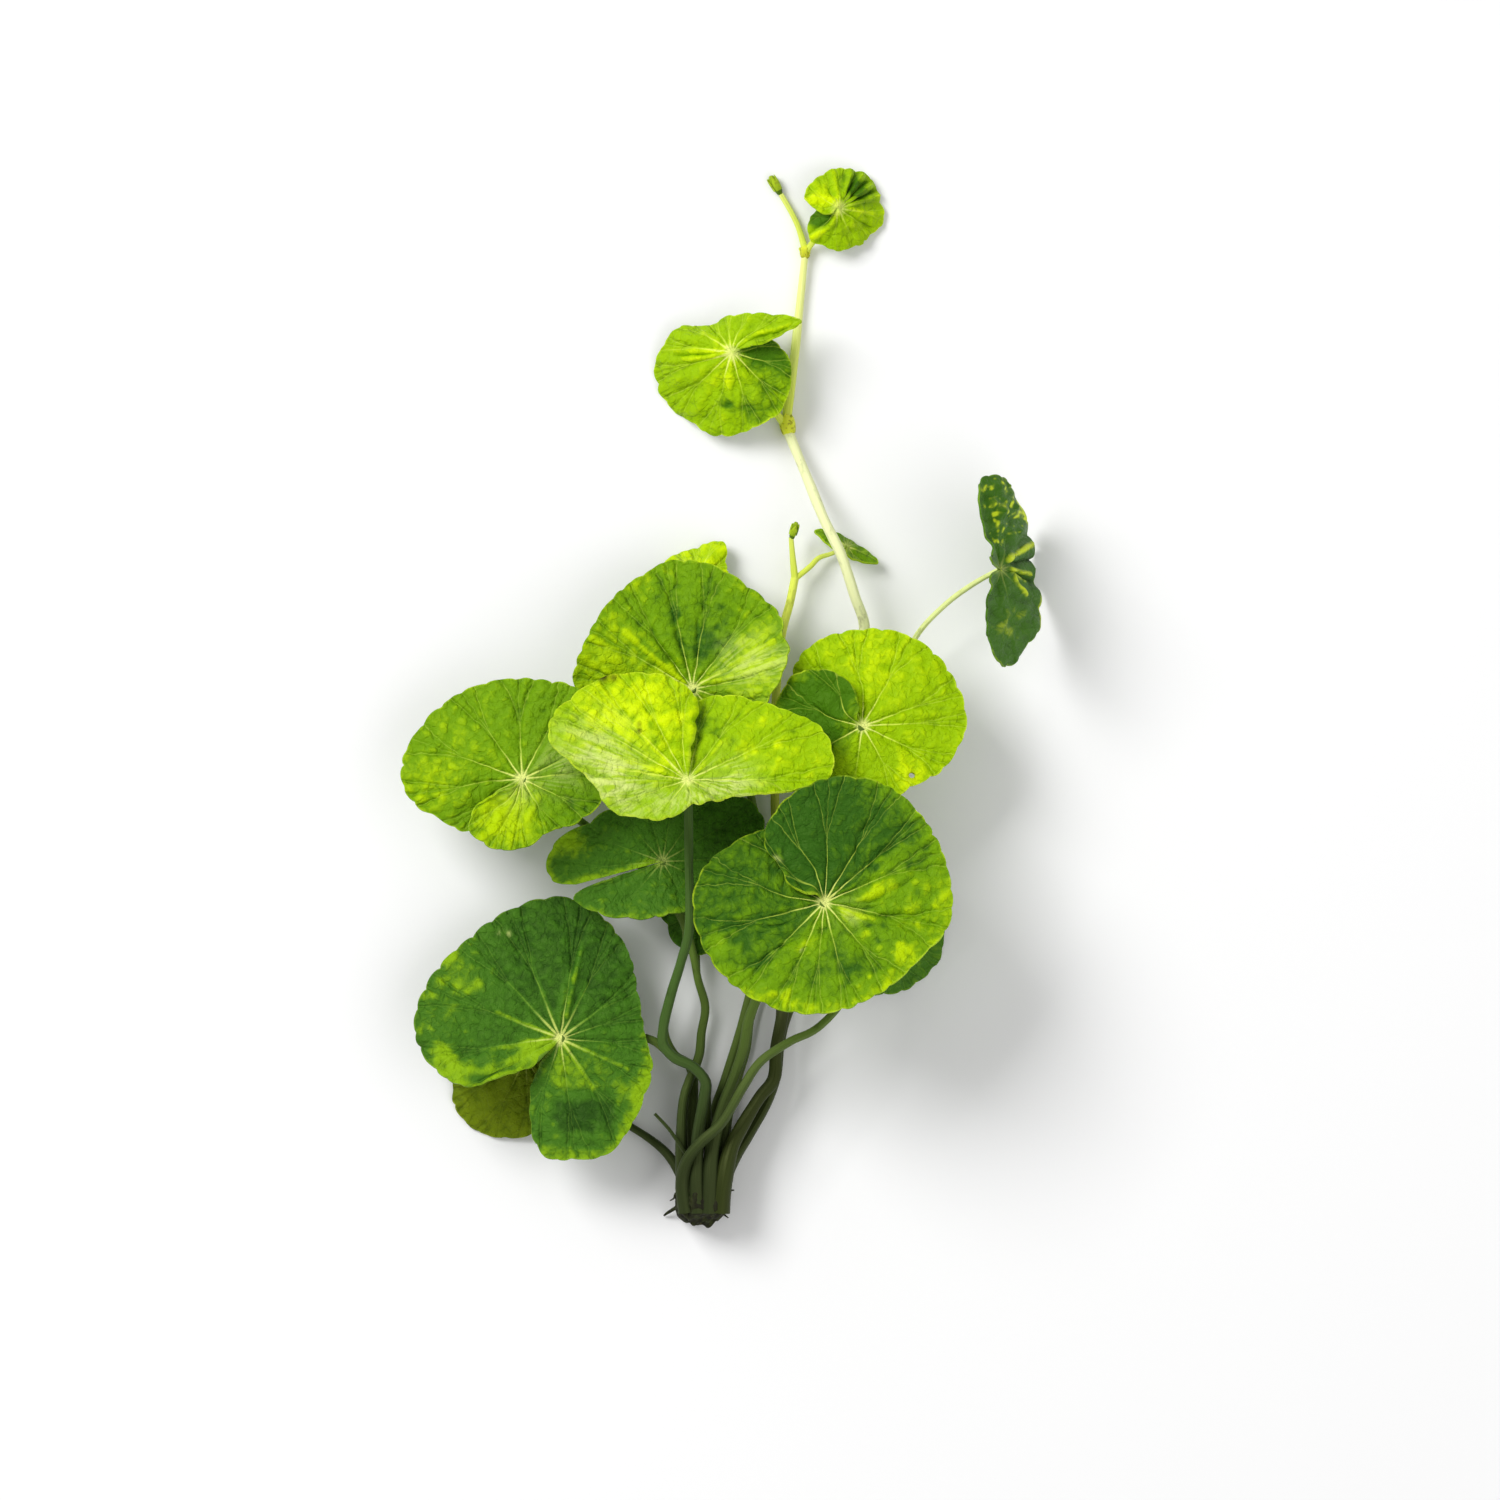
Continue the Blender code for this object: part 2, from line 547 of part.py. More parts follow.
def read_table(table, at):
    """The value at a bearing, on the smooth curve through a table's (bearing, value) rows."""
    last = len(table) - 1
    i = 0
    while i < last - 1 and at > table[i + 1][0]:
        i += 1
    (x0, y0), (x1, y1) = table[i], table[i + 1]
    before, after = table[max(i - 1, 0)], table[min(i + 2, last)]
    slope_0 = (y1 - before[1]) / (x1 - before[0])
    slope_1 = (after[1] - y0) / (after[0] - x0)
    return between(y0, slope_0, y1, slope_1, x1 - x0, (at - x0) / (x1 - x0))


def blade_point(leaf, bearing, fraction):
    """A point of the blade, at a share of the way from the hub to the margin at a bearing."""
    first, last = leaf.margin[0][0], leaf.margin[-1][0]
    middle = (first + last) / 2
    narrowed = min(1.0, SINUS_SPAN / (last - first))
    opening = smooth_step((fraction - SINUS_CLOSES) / (SINUS_OPENS - SINUS_CLOSES))
    turn = math.radians(middle + (bearing - middle) * (narrowed + (1.0 - narrowed) * opening))
    reach = fraction * read_table(leaf.margin, bearing)
    x, y, z = leaf.hub
    rise = (read_table(leaf.height, bearing) - z) * fraction**CUPPING
    toward_end = (bearing - middle) / (last - middle)
    widest = max(row[1] for row in leaf.margin)
    overlap = leaf.lap / 2 * toward_end**3 * smooth_step(reach / (LAP_RUN * widest))
    return Vector((x + reach * math.cos(turn), y + reach * math.sin(turn), z + rise + overlap))


def even_places(chain, step, fewest, most):
    """Where a chain of points divides into even steps, as (index, share on to the next point)."""
    run = [0.0]
    for a, b in zip(chain, chain[1:]):
        run.append(run[-1] + (b - a).length)
    count = min(max(round(run[-1] / step), fewest), most)
    places = []
    i = 0
    for number in range(count + 1):
        while i < len(run) - 2 and run[i + 1] < run[-1] * number / count:
            i += 1
        places.append((i, (run[-1] * number / count - run[i]) / (run[i + 1] - run[i])))
    return places


def margin_bearings(leaf):
    """Bearings that divide the margin into even steps of about MARGIN_STEP."""
    first, last = leaf.margin[0][0], leaf.margin[-1][0]
    fine = [first + (last - first) * i / FINE_STEPS for i in range(FINE_STEPS + 1)]
    rim = [blade_point(leaf, bearing, 1.0) for bearing in fine]
    places = even_places(rim, MARGIN_STEP, FEWEST_MARGIN_STEPS, MOST_MARGIN_STEPS)
    return [fine[i] + (fine[i + 1] - fine[i]) * share for i, share in places]


def make_blade(leaf):
    """A blade: a fan of rings about the hub, open at the sinus, thickened to a solid."""
    sheet = bmesh.new()
    bearings = margin_bearings(leaf)
    pole = sheet.verts.new(Vector(leaf.hub) * MM)
    rings = [
        [sheet.verts.new(blade_point(leaf, bearing, fraction) * MM) for bearing in bearings]
        for fraction in BLADE_RINGS
    ]
    for a, b in zip(rings[0], rings[0][1:]):
        sheet.faces.new((pole, a, b))
    for inner, outer in zip(rings, rings[1:]):
        for i in range(len(bearings) - 1):
            sheet.faces.new((inner[i], outer[i], outer[i + 1], inner[i + 1]))
    mesh = bpy.data.meshes.new(leaf.name)
    sheet.to_mesh(mesh)
    sheet.free()
    mesh.shade_smooth()
    obj = add_object(leaf.name, mesh, leaf.finish)
    wall = obj.modifiers.new("Thickness", "SOLIDIFY")
    wall.thickness = BLADE_THICKNESS * MM
    wall.offset = 0.0


def smooth_route(points):
    """Points at even steps along the smooth curve through a route's own points."""
    ends = [Vector(p) for p in points]
    ends = [2 * ends[0] - ends[1], *ends, 2 * ends[-1] - ends[-2]]
    fine = []
    for before, start, stop, after in zip(ends, ends[1:], ends[2:], ends[3:]):
        knots = [0.0]
        for a, b in ((before, start), (start, stop), (stop, after)):
            knots.append(knots[-1] + math.sqrt((b - a).length))
        slope_0 = tangent(before, start, stop, knots[0:3])
        slope_1 = tangent(start, stop, after, knots[1:4])
        span = knots[2] - knots[1]
        for i in range(ROUTE_STEPS):
            fine.append(between(start, slope_0, stop, slope_1, span, i / ROUTE_STEPS))
    fine.append(ends[-2])
    places = even_places(fine, TUBE_STEP, FEWEST_TUBE_STEPS, MOST_TUBE_STEPS)
    return [fine[i].lerp(fine[i + 1], share) for i, share in places]


def tangent(before, at, after, knots):
    """The slope at the middle of three points, spaced as their knots are."""
    left, right = knots[1] - knots[0], knots[2] - knots[1]
    return (at - before) / left - (after - before) / (left + right) + (after - at) / right


def make_stem(stem):
    """A tapered tube with closed ends along the stem's route."""
    curve = bpy.data.curves.new(stem.name, "CURVE")
    curve.dimensions = "3D"
    curve.bevel_depth = stem.widths[0] / 2 * MM
    curve.bevel_resolution = TUBE_ROUNDNESS
    curve.use_fill_caps = True
    points = smooth_route(stem.route)
    spline = curve.splines.new("POLY")
    spline.points.add(len(points) - 1)
    taper = stem.widths[1] / stem.widths[0] - 1.0
    for i, (knot, point) in enumerate(zip(spline.points, points)):
        knot.co = (*(point * MM), 1.0)
        knot.radius = 1.0 + taper * i / (len(points) - 1)
    add_object(stem.name, curve, stem.finish)


def loft(name, rings, finish):
    """A closed solid from rings of points, each joined to the next, with a face on each end."""
    solid = bmesh.new()
    loops = [[solid.verts.new(point * MM) for point in ring] for ring in rings]
    for a, b in zip(loops, loops[1:]):
        for i in range(len(a)):
            j = (i + 1) % len(a)
            solid.faces.new((a[i], a[j], b[j], b[i]))
    solid.faces.new(loops[0])
    solid.faces.new(loops[-1])
    bmesh.ops.recalc_face_normals(solid, faces=solid.faces)
    mesh = bpy.data.meshes.new(name)
    solid.to_mesh(mesh)
    solid.free()
    mesh.shade_smooth()
    mesh.set_sharp_from_angle(angle=math.radians(SHARP_ANGLE))
    add_object(name, mesh, finish)


def make_knob(knob):
    """A turned spindle between two points, widest at its fullness."""
    foot, tip = Vector(knob.foot), Vector(knob.tip)
    axis = tip - foot
    side = axis.orthogonal().normalized()
    across = axis.normalized().cross(side)
    rings = []
    for share in (0.0, *KNOB_PROFILE, 1.0):
        if share < knob.fullness:
            away = (knob.fullness - share) / knob.fullness
        else:
            away = (share - knob.fullness) / (1.0 - knob.fullness)
        radius = knob.width / 2 * max(math.sqrt(1.0 - away**2), KNOB_END)
        turns = [2 * math.pi * i / KNOB_SIDES for i in range(KNOB_SIDES)]
        rings.append([
            foot + axis * share + side * (radius * math.cos(a)) + across * (radius * math.sin(a))
            for a in turns
        ])
    loft(knob.name, rings, knob.finish)


def make_crown():
    """The short dark stock that every stem grows from, cut off below."""
    rings = []
    for y, x, z, half_width, half_height in CROWN_RINGS:
        ring = []
        for i in range(CROWN_SIDES):
            turn = 2 * math.pi * (i + 0.5) / CROWN_SIDES
            c, s = math.cos(turn), math.sin(turn)
            scale = (abs(c) ** CROWN_SQUARENESS + abs(s) ** CROWN_SQUARENESS) ** (-1 / CROWN_SQUARENESS)
            ring.append(Vector((x + half_width * scale * c, y, z + half_height * scale * s)))
        rings.append(ring)
    loft("crown", rings, CROWN_DARK)


def main():
    """Clear the scene and model every piece of the plant."""
    for obj in list(bpy.data.objects):
        bpy.data.objects.remove(obj)
    make_crown()
    for stem in STEMS:
        make_stem(stem)
    for knob in KNOBS:
        make_knob(knob)
    for leaf in LEAVES:
        make_blade(leaf)


main()
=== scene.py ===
"""The looks of a picked clump of Asiatic pennywort with one runner, lying on its back.

The tables are in millimetres and degrees, the meshes in metres. +Y runs from the cut crown to the
tip of the runner, +Z is up from the surface, and the camera looks straight down, as at the picture.
A bearing turns anticlockwise from +X about a blade's hub. A blade whose lobes overlap has a margin
that turns through more than 360 degrees, so bearings run on past 360.
"""

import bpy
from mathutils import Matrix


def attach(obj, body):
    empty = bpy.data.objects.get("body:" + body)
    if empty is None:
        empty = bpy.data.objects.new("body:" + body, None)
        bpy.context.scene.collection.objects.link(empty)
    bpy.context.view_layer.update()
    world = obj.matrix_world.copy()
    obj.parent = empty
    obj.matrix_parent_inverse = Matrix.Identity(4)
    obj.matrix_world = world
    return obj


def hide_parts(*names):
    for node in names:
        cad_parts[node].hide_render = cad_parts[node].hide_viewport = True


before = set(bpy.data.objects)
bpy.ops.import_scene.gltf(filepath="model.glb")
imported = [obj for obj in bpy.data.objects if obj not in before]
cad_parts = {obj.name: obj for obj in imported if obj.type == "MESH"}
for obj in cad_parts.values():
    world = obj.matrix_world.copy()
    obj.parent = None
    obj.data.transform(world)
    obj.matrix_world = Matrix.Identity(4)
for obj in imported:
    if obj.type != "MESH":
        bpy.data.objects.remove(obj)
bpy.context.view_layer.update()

import logging
import math
from collections.abc import Callable
from dataclasses import dataclass, replace
from enum import Enum

import bpy
import numpy as np
from mathutils import Vector

LOG = logging.getLogger("pennywort")
MM = 0.001
BODY = "root"
# How near vertices are merged, and the least height of a vertex above the surface, in millimetres.
MERGED = 0.001
GROUND = 0.02
# The range of a wave's random phase, in radians, and the turn from one scale to the next, in degrees.
PHASES = (0.0, 6.28)
GOLDEN_ANGLE = 137.5

# The picture: its side in pixels, the real size of a pixel, and the plan point at its middle.
PICTURE_SIDE = 1500
PIXEL = 0.18
PICTURE_MIDDLE = (5.3, -10.2)
CAMERA_LENS = 400.0
CAMERA_SENSOR = 36.0
# The height whose outlines the picture's scale is exact at.
SCALE_HEIGHT = 15.0

# How steeply a blade rises to its margin, how its sinus closes near the hub, how far from the hub its
# end lobes start to lap, and how finely its margin and its sheet are divided.
CUPPING = 1.3
SINUS_SPAN = 361.0
SINUS_CLOSES = 0.28
SINUS_OPENS = 0.58
LAP_RUN = 0.16
FINE_STEPS = 1440
CELL = 0.44
LEAST_COLUMNS = 48
LEAST_ROWS = 12
# Veins run straight within this many degrees of a blade's middle bearing, and a fold marks only what
# lies within this many degrees of it, so that it doesn't show on a lobe that lies over or under it.
STRAIGHT_VEINS = 125.0
OWN_LOBE = 100.0
# The usual angle between veins where a blade doesn't state its own.
VEIN_STEP = 32.0
# The wave lengths of a blade's ripples, radial pleats and puckers, in millimetres, and the weights that
# pleats and puckers have in its crumple.
RIPPLES = 9.0
PLEATS = 3.6
PLEAT_WEIGHT = 0.25
PUCKERS = 2.8
PUCKER_WEIGHT = 0.85

# The crown's face and the stalks that start on it, in four columns and four rows.
CROWN_FACE_Y = -88.0
CROWN_COLUMNS = (-6.9, -4.4, -1.9, 0.6)
CROWN_ROWS = (1.6, 4.1, 6.6, 9.1)
# Distance along Y, middle X, middle Z, half width and half height of each ring of the crown's stock,
# which the feet of the stalks cover.
CROWN_RINGS = (
    (-95.1, -3.6, 4.1, 2.9, 2.7),
    (-94.0, -3.5, 4.7, 4.2, 4.1),
    (-92.0, -3.2, 5.1, 4.7, 4.8),
    (-89.5, -3.1, 5.3, 4.2, 4.3),
    (-86.0, -3.1, 5.4, 3.0, 3.2),
)
CROWN_SQUARENESS = 3.2
CROWN_MIDDLE = (-3.15, 5.4)

# Over what distances a stalk's sheath, its flare and its unevenness change, in millimetres.
SHEATH_RUNS = (11.0, 40.0)
FLARE_RUN = 1.3
UNEVEN_RUN = 14.0

# How far a stalk grows into the crown and into the blade that it carries, how much nearer to the
# crown's middle it is rooted, and how many points its smooth route has between two given ones.
ROOTED = 5.6
SEATED = 0.12
GATHERED = (0.84, 0.8)
ROUTE_STEPS = 12

# The runner's two joints and its fork.
NODE_1 = (11.8, 48.5, 1.9)
NODE_2 = (15.4, 80.0, 1.6)
SHOOT_FORK = (13.4, 21.0, 4.2)

# The tint of the shine of waxy skin over green tissue.
SKIN_SHINE = (0.86, 0.98, 0.36)

Point = tuple[float, float, float]
Table = tuple[tuple[float, float], ...]
Span = tuple[float, float]
Colour = tuple[float, float, float]
Number = float | np.ndarray
Socket = bpy.types.NodeSocket
# What a node's input is given: a number, a colour or place, or another node's socket.
Given = float | Colour | Socket


class Slot(Enum):
    """The record's material slots."""

    LEAF_BRIGHT = "leaf_bright"
    LEAF_GREEN = "leaf_green"
    LEAF_DEEP = "leaf_deep"
    STEM_OLIVE = "stem_olive"
    STEM_PALE = "stem_pale"
    CROWN_DARK = "crown_dark"


class Paint(Enum):
    """What a patch changes: the tone, both how yellow or deep a blade is and where light and shade are
    painted on it, how whitish, how scorched, or how high.
    """

    TONE = "tone"
    PALE = "pale"
    SCAR = "scar"
    RELIEF = "relief"


def srgb(red: int, green: int, blue: int) -> Colour:
    """Turn a colour as seen on a screen into the linear one that a shader takes.

    Args:
        red: The red value, 0 to 255.
        green: The green value, 0 to 255.
        blue: The blue value, 0 to 255.

    Returns:
        The linear colour.
    """
    return tuple(
        (c / 255 / 12.92 if c <= 10 else ((c / 255 + 0.055) / 1.055) ** 2.4)
        for c in (red, green, blue)
    )


def smooth_step(value: np.ndarray) -> np.ndarray:
    """Zero below 0, one above 1, and an even slope between."""
    value = np.clip(value, 0.0, 1.0)
    return value * value * (3.0 - 2.0 * value)


def between(
    start: Number, slope_0: Number, stop: Number, slope_1: Number, span: Number, u: Number
) -> Number:
    """Read the smooth curve from a start to a stop.

    Args:
        start: The value at the start.
        slope_0: The slope there.
        stop: The value at the stop.
        slope_1: The slope there.
        span: The distance from start to stop.
        u: How far along it the curve is read, from 0 to 1.

    Returns:
        The value there.
    """
    return (
        (2 * u**3 - 3 * u**2 + 1) * start
        + (u**3 - 2 * u**2 + u) * span * slope_0
        + (3 * u**2 - 2 * u**3) * stop
        + (u**3 - u**2) * span * slope_1
    )


def read_table(table: Table, at: np.ndarray) -> np.ndarray:
    """Read the smooth curve through a table's rows.

    Args:
        table: Rows of (bearing, value), in rising order of bearing.
        at: The bearings to read.

    Returns:
        The values there.
    """
    x = np.array([row[0] for row in table], float)
    y = np.array([row[1] for row in table], float)
    before = np.maximum(np.arange(len(x)) - 1, 0)
    after = np.minimum(np.arange(len(x)) + 1, len(x) - 1)
    slope = (y[after] - y[before]) / (x[after] - x[before])
    i = np.clip(np.searchsorted(x, at) - 1, 0, len(x) - 2)
    span = x[i + 1] - x[i]
    return between(y[i], slope[i], y[i + 1], slope[i + 1], span, (at - x[i]) / span)


def seed_of(name: str) -> int:
    """A number that is always the same for a piece's name."""
    return sum((i + 1) * ord(letter) for i, letter in enumerate(name))


def run_along(points: np.ndarray) -> np.ndarray:
    """The distance walked from the first of a row of points to each of them."""
    return np.concatenate([[0.0], np.cumsum(np.linalg.norm(np.diff(points, axis=0), axis=1))])


def waves(x: np.ndarray, y: np.ndarray, length: float, seed: int, count: int = 9) -> np.ndarray:
    """Add up sine waves in random directions into a gently uneven surface.

    Args:
        x: Places across, in millimetres.
        y: Places along, in millimetres.
        length: The typical length of a wave, in millimetres.
        seed: What fixes the random directions.
        count: How many waves are added up.

    Returns:
        Heights of about -1 to 1.
    """
    draw = np.random.default_rng(seed)
    total = np.zeros_like(x)
    for _ in range(count):
        turn = draw.uniform(0, 2 * math.pi)
        pace = 2 * math.pi / (length * draw.uniform(0.6, 1.6))
        total += np.sin(pace * (x * math.cos(turn) + y * math.sin(turn)) + draw.uniform(*PHASES))
    return total / math.sqrt(count * 1.4)


# Modelling by operators.


def deselect() -> None:
    """Leave no object selected."""
    bpy.ops.object.select_all(action="DESELECT")


def unselect_mesh() -> None:
    """Leave nothing selected in the mesh of the active object."""
    bpy.ops.object.mode_set(mode="EDIT")
    bpy.ops.mesh.select_all(action="DESELECT")
    bpy.ops.object.mode_set(mode="OBJECT")


def take(name: str) -> bpy.types.Object:
    """Name the primitive that was just added, and its mesh.

    Args:
        name: The name.

    Returns:
        The object.
    """
    obj = bpy.context.object
    obj.name = name
    obj.data.name = name
    return obj


def coordinates(obj: bpy.types.Object) -> np.ndarray:
    """Read the places of an object's vertices.

    Args:
        obj: The object.

    Returns:
        One row for each vertex, in metres.
    """
    places = np.empty(len(obj.data.vertices) * 3)
    obj.data.vertices.foreach_get("co", places)
    return places.reshape(-1, 3)


def place_vertices(obj: bpy.types.Object, places: np.ndarray) -> None:
    """Move an object's vertices to new places, in metres."""
    obj.data.vertices.foreach_set("co", np.ascontiguousarray(places, np.float32).ravel())
    obj.data.update()


def store(obj: bpy.types.Object, name: str, values: np.ndarray, domain: str) -> None:
    """Keep a vector for each vertex of a mesh as an attribute that its material reads.

    Args:
        obj: The object.
        name: The attribute's name.
        values: One row of three numbers for each vertex.
        domain: POINT, or CORNER where vertices are merged later and faces must keep their own.
    """
    if domain == "CORNER":
        corner = np.empty(len(obj.data.loops), np.int32)
        obj.data.loops.foreach_get("vertex_index", corner)
        values = values[corner]
    attribute = obj.data.attributes.new(name, "FLOAT_VECTOR", domain)
    attribute.data.foreach_set("vector", np.ascontiguousarray(values, np.float32).ravel())


def store_grain(obj: bpy.types.Object, out: np.ndarray, turn: np.ndarray, run: np.ndarray) -> None:
    """Keep what a stalk's finish reads: a place across and along the grain.

    Args:
        obj: The object.
        out: How far out each vertex lies, from 0 to 1.
        turn: Its angle round the stalk.
        run: Its distance along the stalk, in millimetres.
    """
    store(obj, "grain", np.stack([out * np.cos(turn), out * np.sin(turn), run], axis=1), "POINT")


def join(pieces: list[bpy.types.Object]) -> bpy.types.Object:
    """Join objects.

    Args:
        pieces: The objects.

    Returns:
        The first of them, which now holds all.
    """
    deselect()
    for piece in pieces:
        piece.select_set(True)
    bpy.context.view_layer.objects.active = pieces[0]
    bpy.ops.object.join()
    return pieces[0]


def settle(obj: bpy.types.Object, angle: float = 60.0) -> None:
    """Put an object's place into its mesh and shade it smooth up to an angle.

    Args:
        obj: The finished object.
        angle: Edges sharper than this many degrees stay sharp.
    """
    deselect()
    obj.select_set(True)
    bpy.context.view_layer.objects.active = obj
    bpy.ops.object.transform_apply(location=True, rotation=True, scale=True)
    bpy.ops.object.shade_smooth_by_angle(angle=math.radians(angle))


def weld(obj: bpy.types.Object, within: float = MERGED, closed: bool = True) -> None:
    """Merge vertices that lie together, and turn the faces of a closed shape outwards.

    Args:
        obj: The object.
        within: How near vertices are merged, in millimetres.
        closed: Whether the shape is closed, so that it has an outside.
    """
    deselect()
    obj.select_set(True)
    bpy.context.view_layer.objects.active = obj
    bpy.ops.object.mode_set(mode="EDIT")
    bpy.ops.mesh.select_all(action="SELECT")
    bpy.ops.mesh.remove_doubles(threshold=within * MM)
    if closed:
        bpy.ops.mesh.normals_make_consistent(inside=False)
    bpy.ops.mesh.select_all(action="DESELECT")
    bpy.ops.object.mode_set(mode="OBJECT")


@dataclass
class Rod:
    """A grid that stands for a cylinder's skin and caps: its object and each vertex's place on it."""

    obj: bpy.types.Object
    ring: np.ndarray
    turn: np.ndarray
    out: np.ndarray

    @classmethod
    def add(cls, name: str, sides: int, rings: int, cap_rings: int = 1) -> "Rod":
        """Add the grid, whose first and last row are the middles of the caps.

        Args:
            name: The object's name.
            sides: How many faces go round it.
            rings: How many faces go along it, without the caps.
            cap_rings: How many rings of faces each cap has.

        Returns:
            The rod, whose vertices are still to be placed and welded.
        """
        deselect()
        levels = rings + 2 * cap_rings
        bpy.ops.mesh.primitive_grid_add(x_subdivisions=sides, y_subdivisions=levels, size=2.0)
        obj = take(name)
        grid = coordinates(obj)
        column = np.rint((grid[:, 0] + 1) / 2 * sides).astype(int) % sides
        level = np.rint((grid[:, 1] + 1) / 2 * levels).astype(int)
        out = np.minimum(np.minimum(level, levels - level) / cap_rings, 1.0)
        turn = (column / sides * 2 - 1) * math.pi
        return cls(obj, np.clip(level - cap_rings, 0, rings), turn, out)


def wrap(
    obj: bpy.types.Object,
    middle: np.ndarray,
    side: np.ndarray,
    across: np.ndarray,
    out: np.ndarray,
    turn: np.ndarray,
    ground: float = GROUND,
) -> None:
    """Place an object's vertices round a line, and none of them below the surface.

    Args:
        obj: The object.
        middle: The point of the line that each vertex lies round, in millimetres.
        side: A direction square to the line.
        across: The direction square to both.
        out: How far from the line each vertex lies, in millimetres.
        turn: Its angle round the line.
        ground: The least height, in millimetres.
    """
    places = middle + side * (out * np.cos(turn))[:, None] + across * (out * np.sin(turn))[:, None]
    places[:, 2] = np.maximum(places[:, 2], ground)
    place_vertices(obj, places * MM)


def thicken(obj: bpy.types.Object, thickness: float, other_side: int = 0) -> None:
    """Give the active object, a sheet, its wall, half of it to each side.

    Args:
        obj: The sheet.
        thickness: The wall's thickness, in millimetres.
        other_side: How many slots after the upper face's material the lower face's comes.
    """
    wall = obj.modifiers.new("wall", "SOLIDIFY")
    wall.thickness = thickness * MM
    wall.offset = 0.0
    wall.material_offset = other_side
    bpy.ops.object.modifier_apply(modifier="wall")


def made_once(name: str, make: Callable[[], bpy.types.Material]) -> bpy.types.Material:
    """The material of this name, made when it is first asked for."""
    return bpy.data.materials.get(name) or make()


def frames_along(path: np.ndarray) -> tuple[np.ndarray, np.ndarray]:
    """Find two directions square to a path at each of its points, without twisting.

    Args:
        path: The path's points.

    Returns:
        The first and the second direction at each point.
    """
    ahead = np.gradient(path, axis=0)
    ahead /= np.linalg.norm(ahead, axis=1, keepdims=True)
    side = np.zeros_like(path)
    side[0] = np.cross(ahead[0], (0.0, 0.0, 1.0) if abs(ahead[0][2]) < 0.9 else (1.0, 0.0, 0.0))
    side[0] /= np.linalg.norm(side[0])
    for i in range(1, len(path)):
        side[i] = side[i - 1] - ahead[i] * (side[i - 1] @ ahead[i])
        side[i] /= np.linalg.norm(side[i])
    return side, np.cross(ahead, side)


def declare(obj: bpy.types.Object, slot: Slot, *nodes: str) -> None:
    """Hang a finished piece on the plant's body and hide the solids that it stands for.

    Args:
        obj: The finished piece.
        slot: The record's slot of its finish; not used.
        nodes: The solids that it stands for.
    """
    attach(obj, BODY)
    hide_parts(*nodes)
    LOG.info("%s: %d faces, in place of %s", obj.name, len(obj.data.polygons), ", ".join(nodes))


# Finishes.


# The colours that every blade shares: whitish tissue, the veins and the star about the hub, the veins
# of the lower face, and scorched tissue. The last is the dots on a joint.
WHITISH = srgb(216, 228, 136)
HUB_VEIN = srgb(232, 238, 128)
HUB_STAR = srgb(236, 244, 140)
LOWER_VEIN = srgb(190, 212, 112)
SCORCH = srgb(46, 34, 12)
BROWN_DOT = srgb(92, 60, 36)

# A main vein's width at the hub and at the margin, a side vein's outer and inner edge, and how far from
# a vein its furrow reaches, in millimetres.
MAIN_VEIN = (0.12, 0.055)
SIDE_VEIN = (0.11, 0.03)
FURROW = 0.7

# How often the stalks' patterns repeat in a millimetre, across and along the grain.
FIBRES = (2.2, 2.2, 0.07)
BLOTCHES = (0.6, 0.6, 0.35)
DOTS = (1.6, 1.6, 1.6)
RIDGES = (3.4, 3.4, 0.02)

IN_PLANE = (1.0, 1.0, 0.0)
# Which sockets of a Mix node are its two colours, and which is its result.
FIRST_COLOUR = 6
SECOND_COLOUR = 7
MIXED_COLOUR = 2


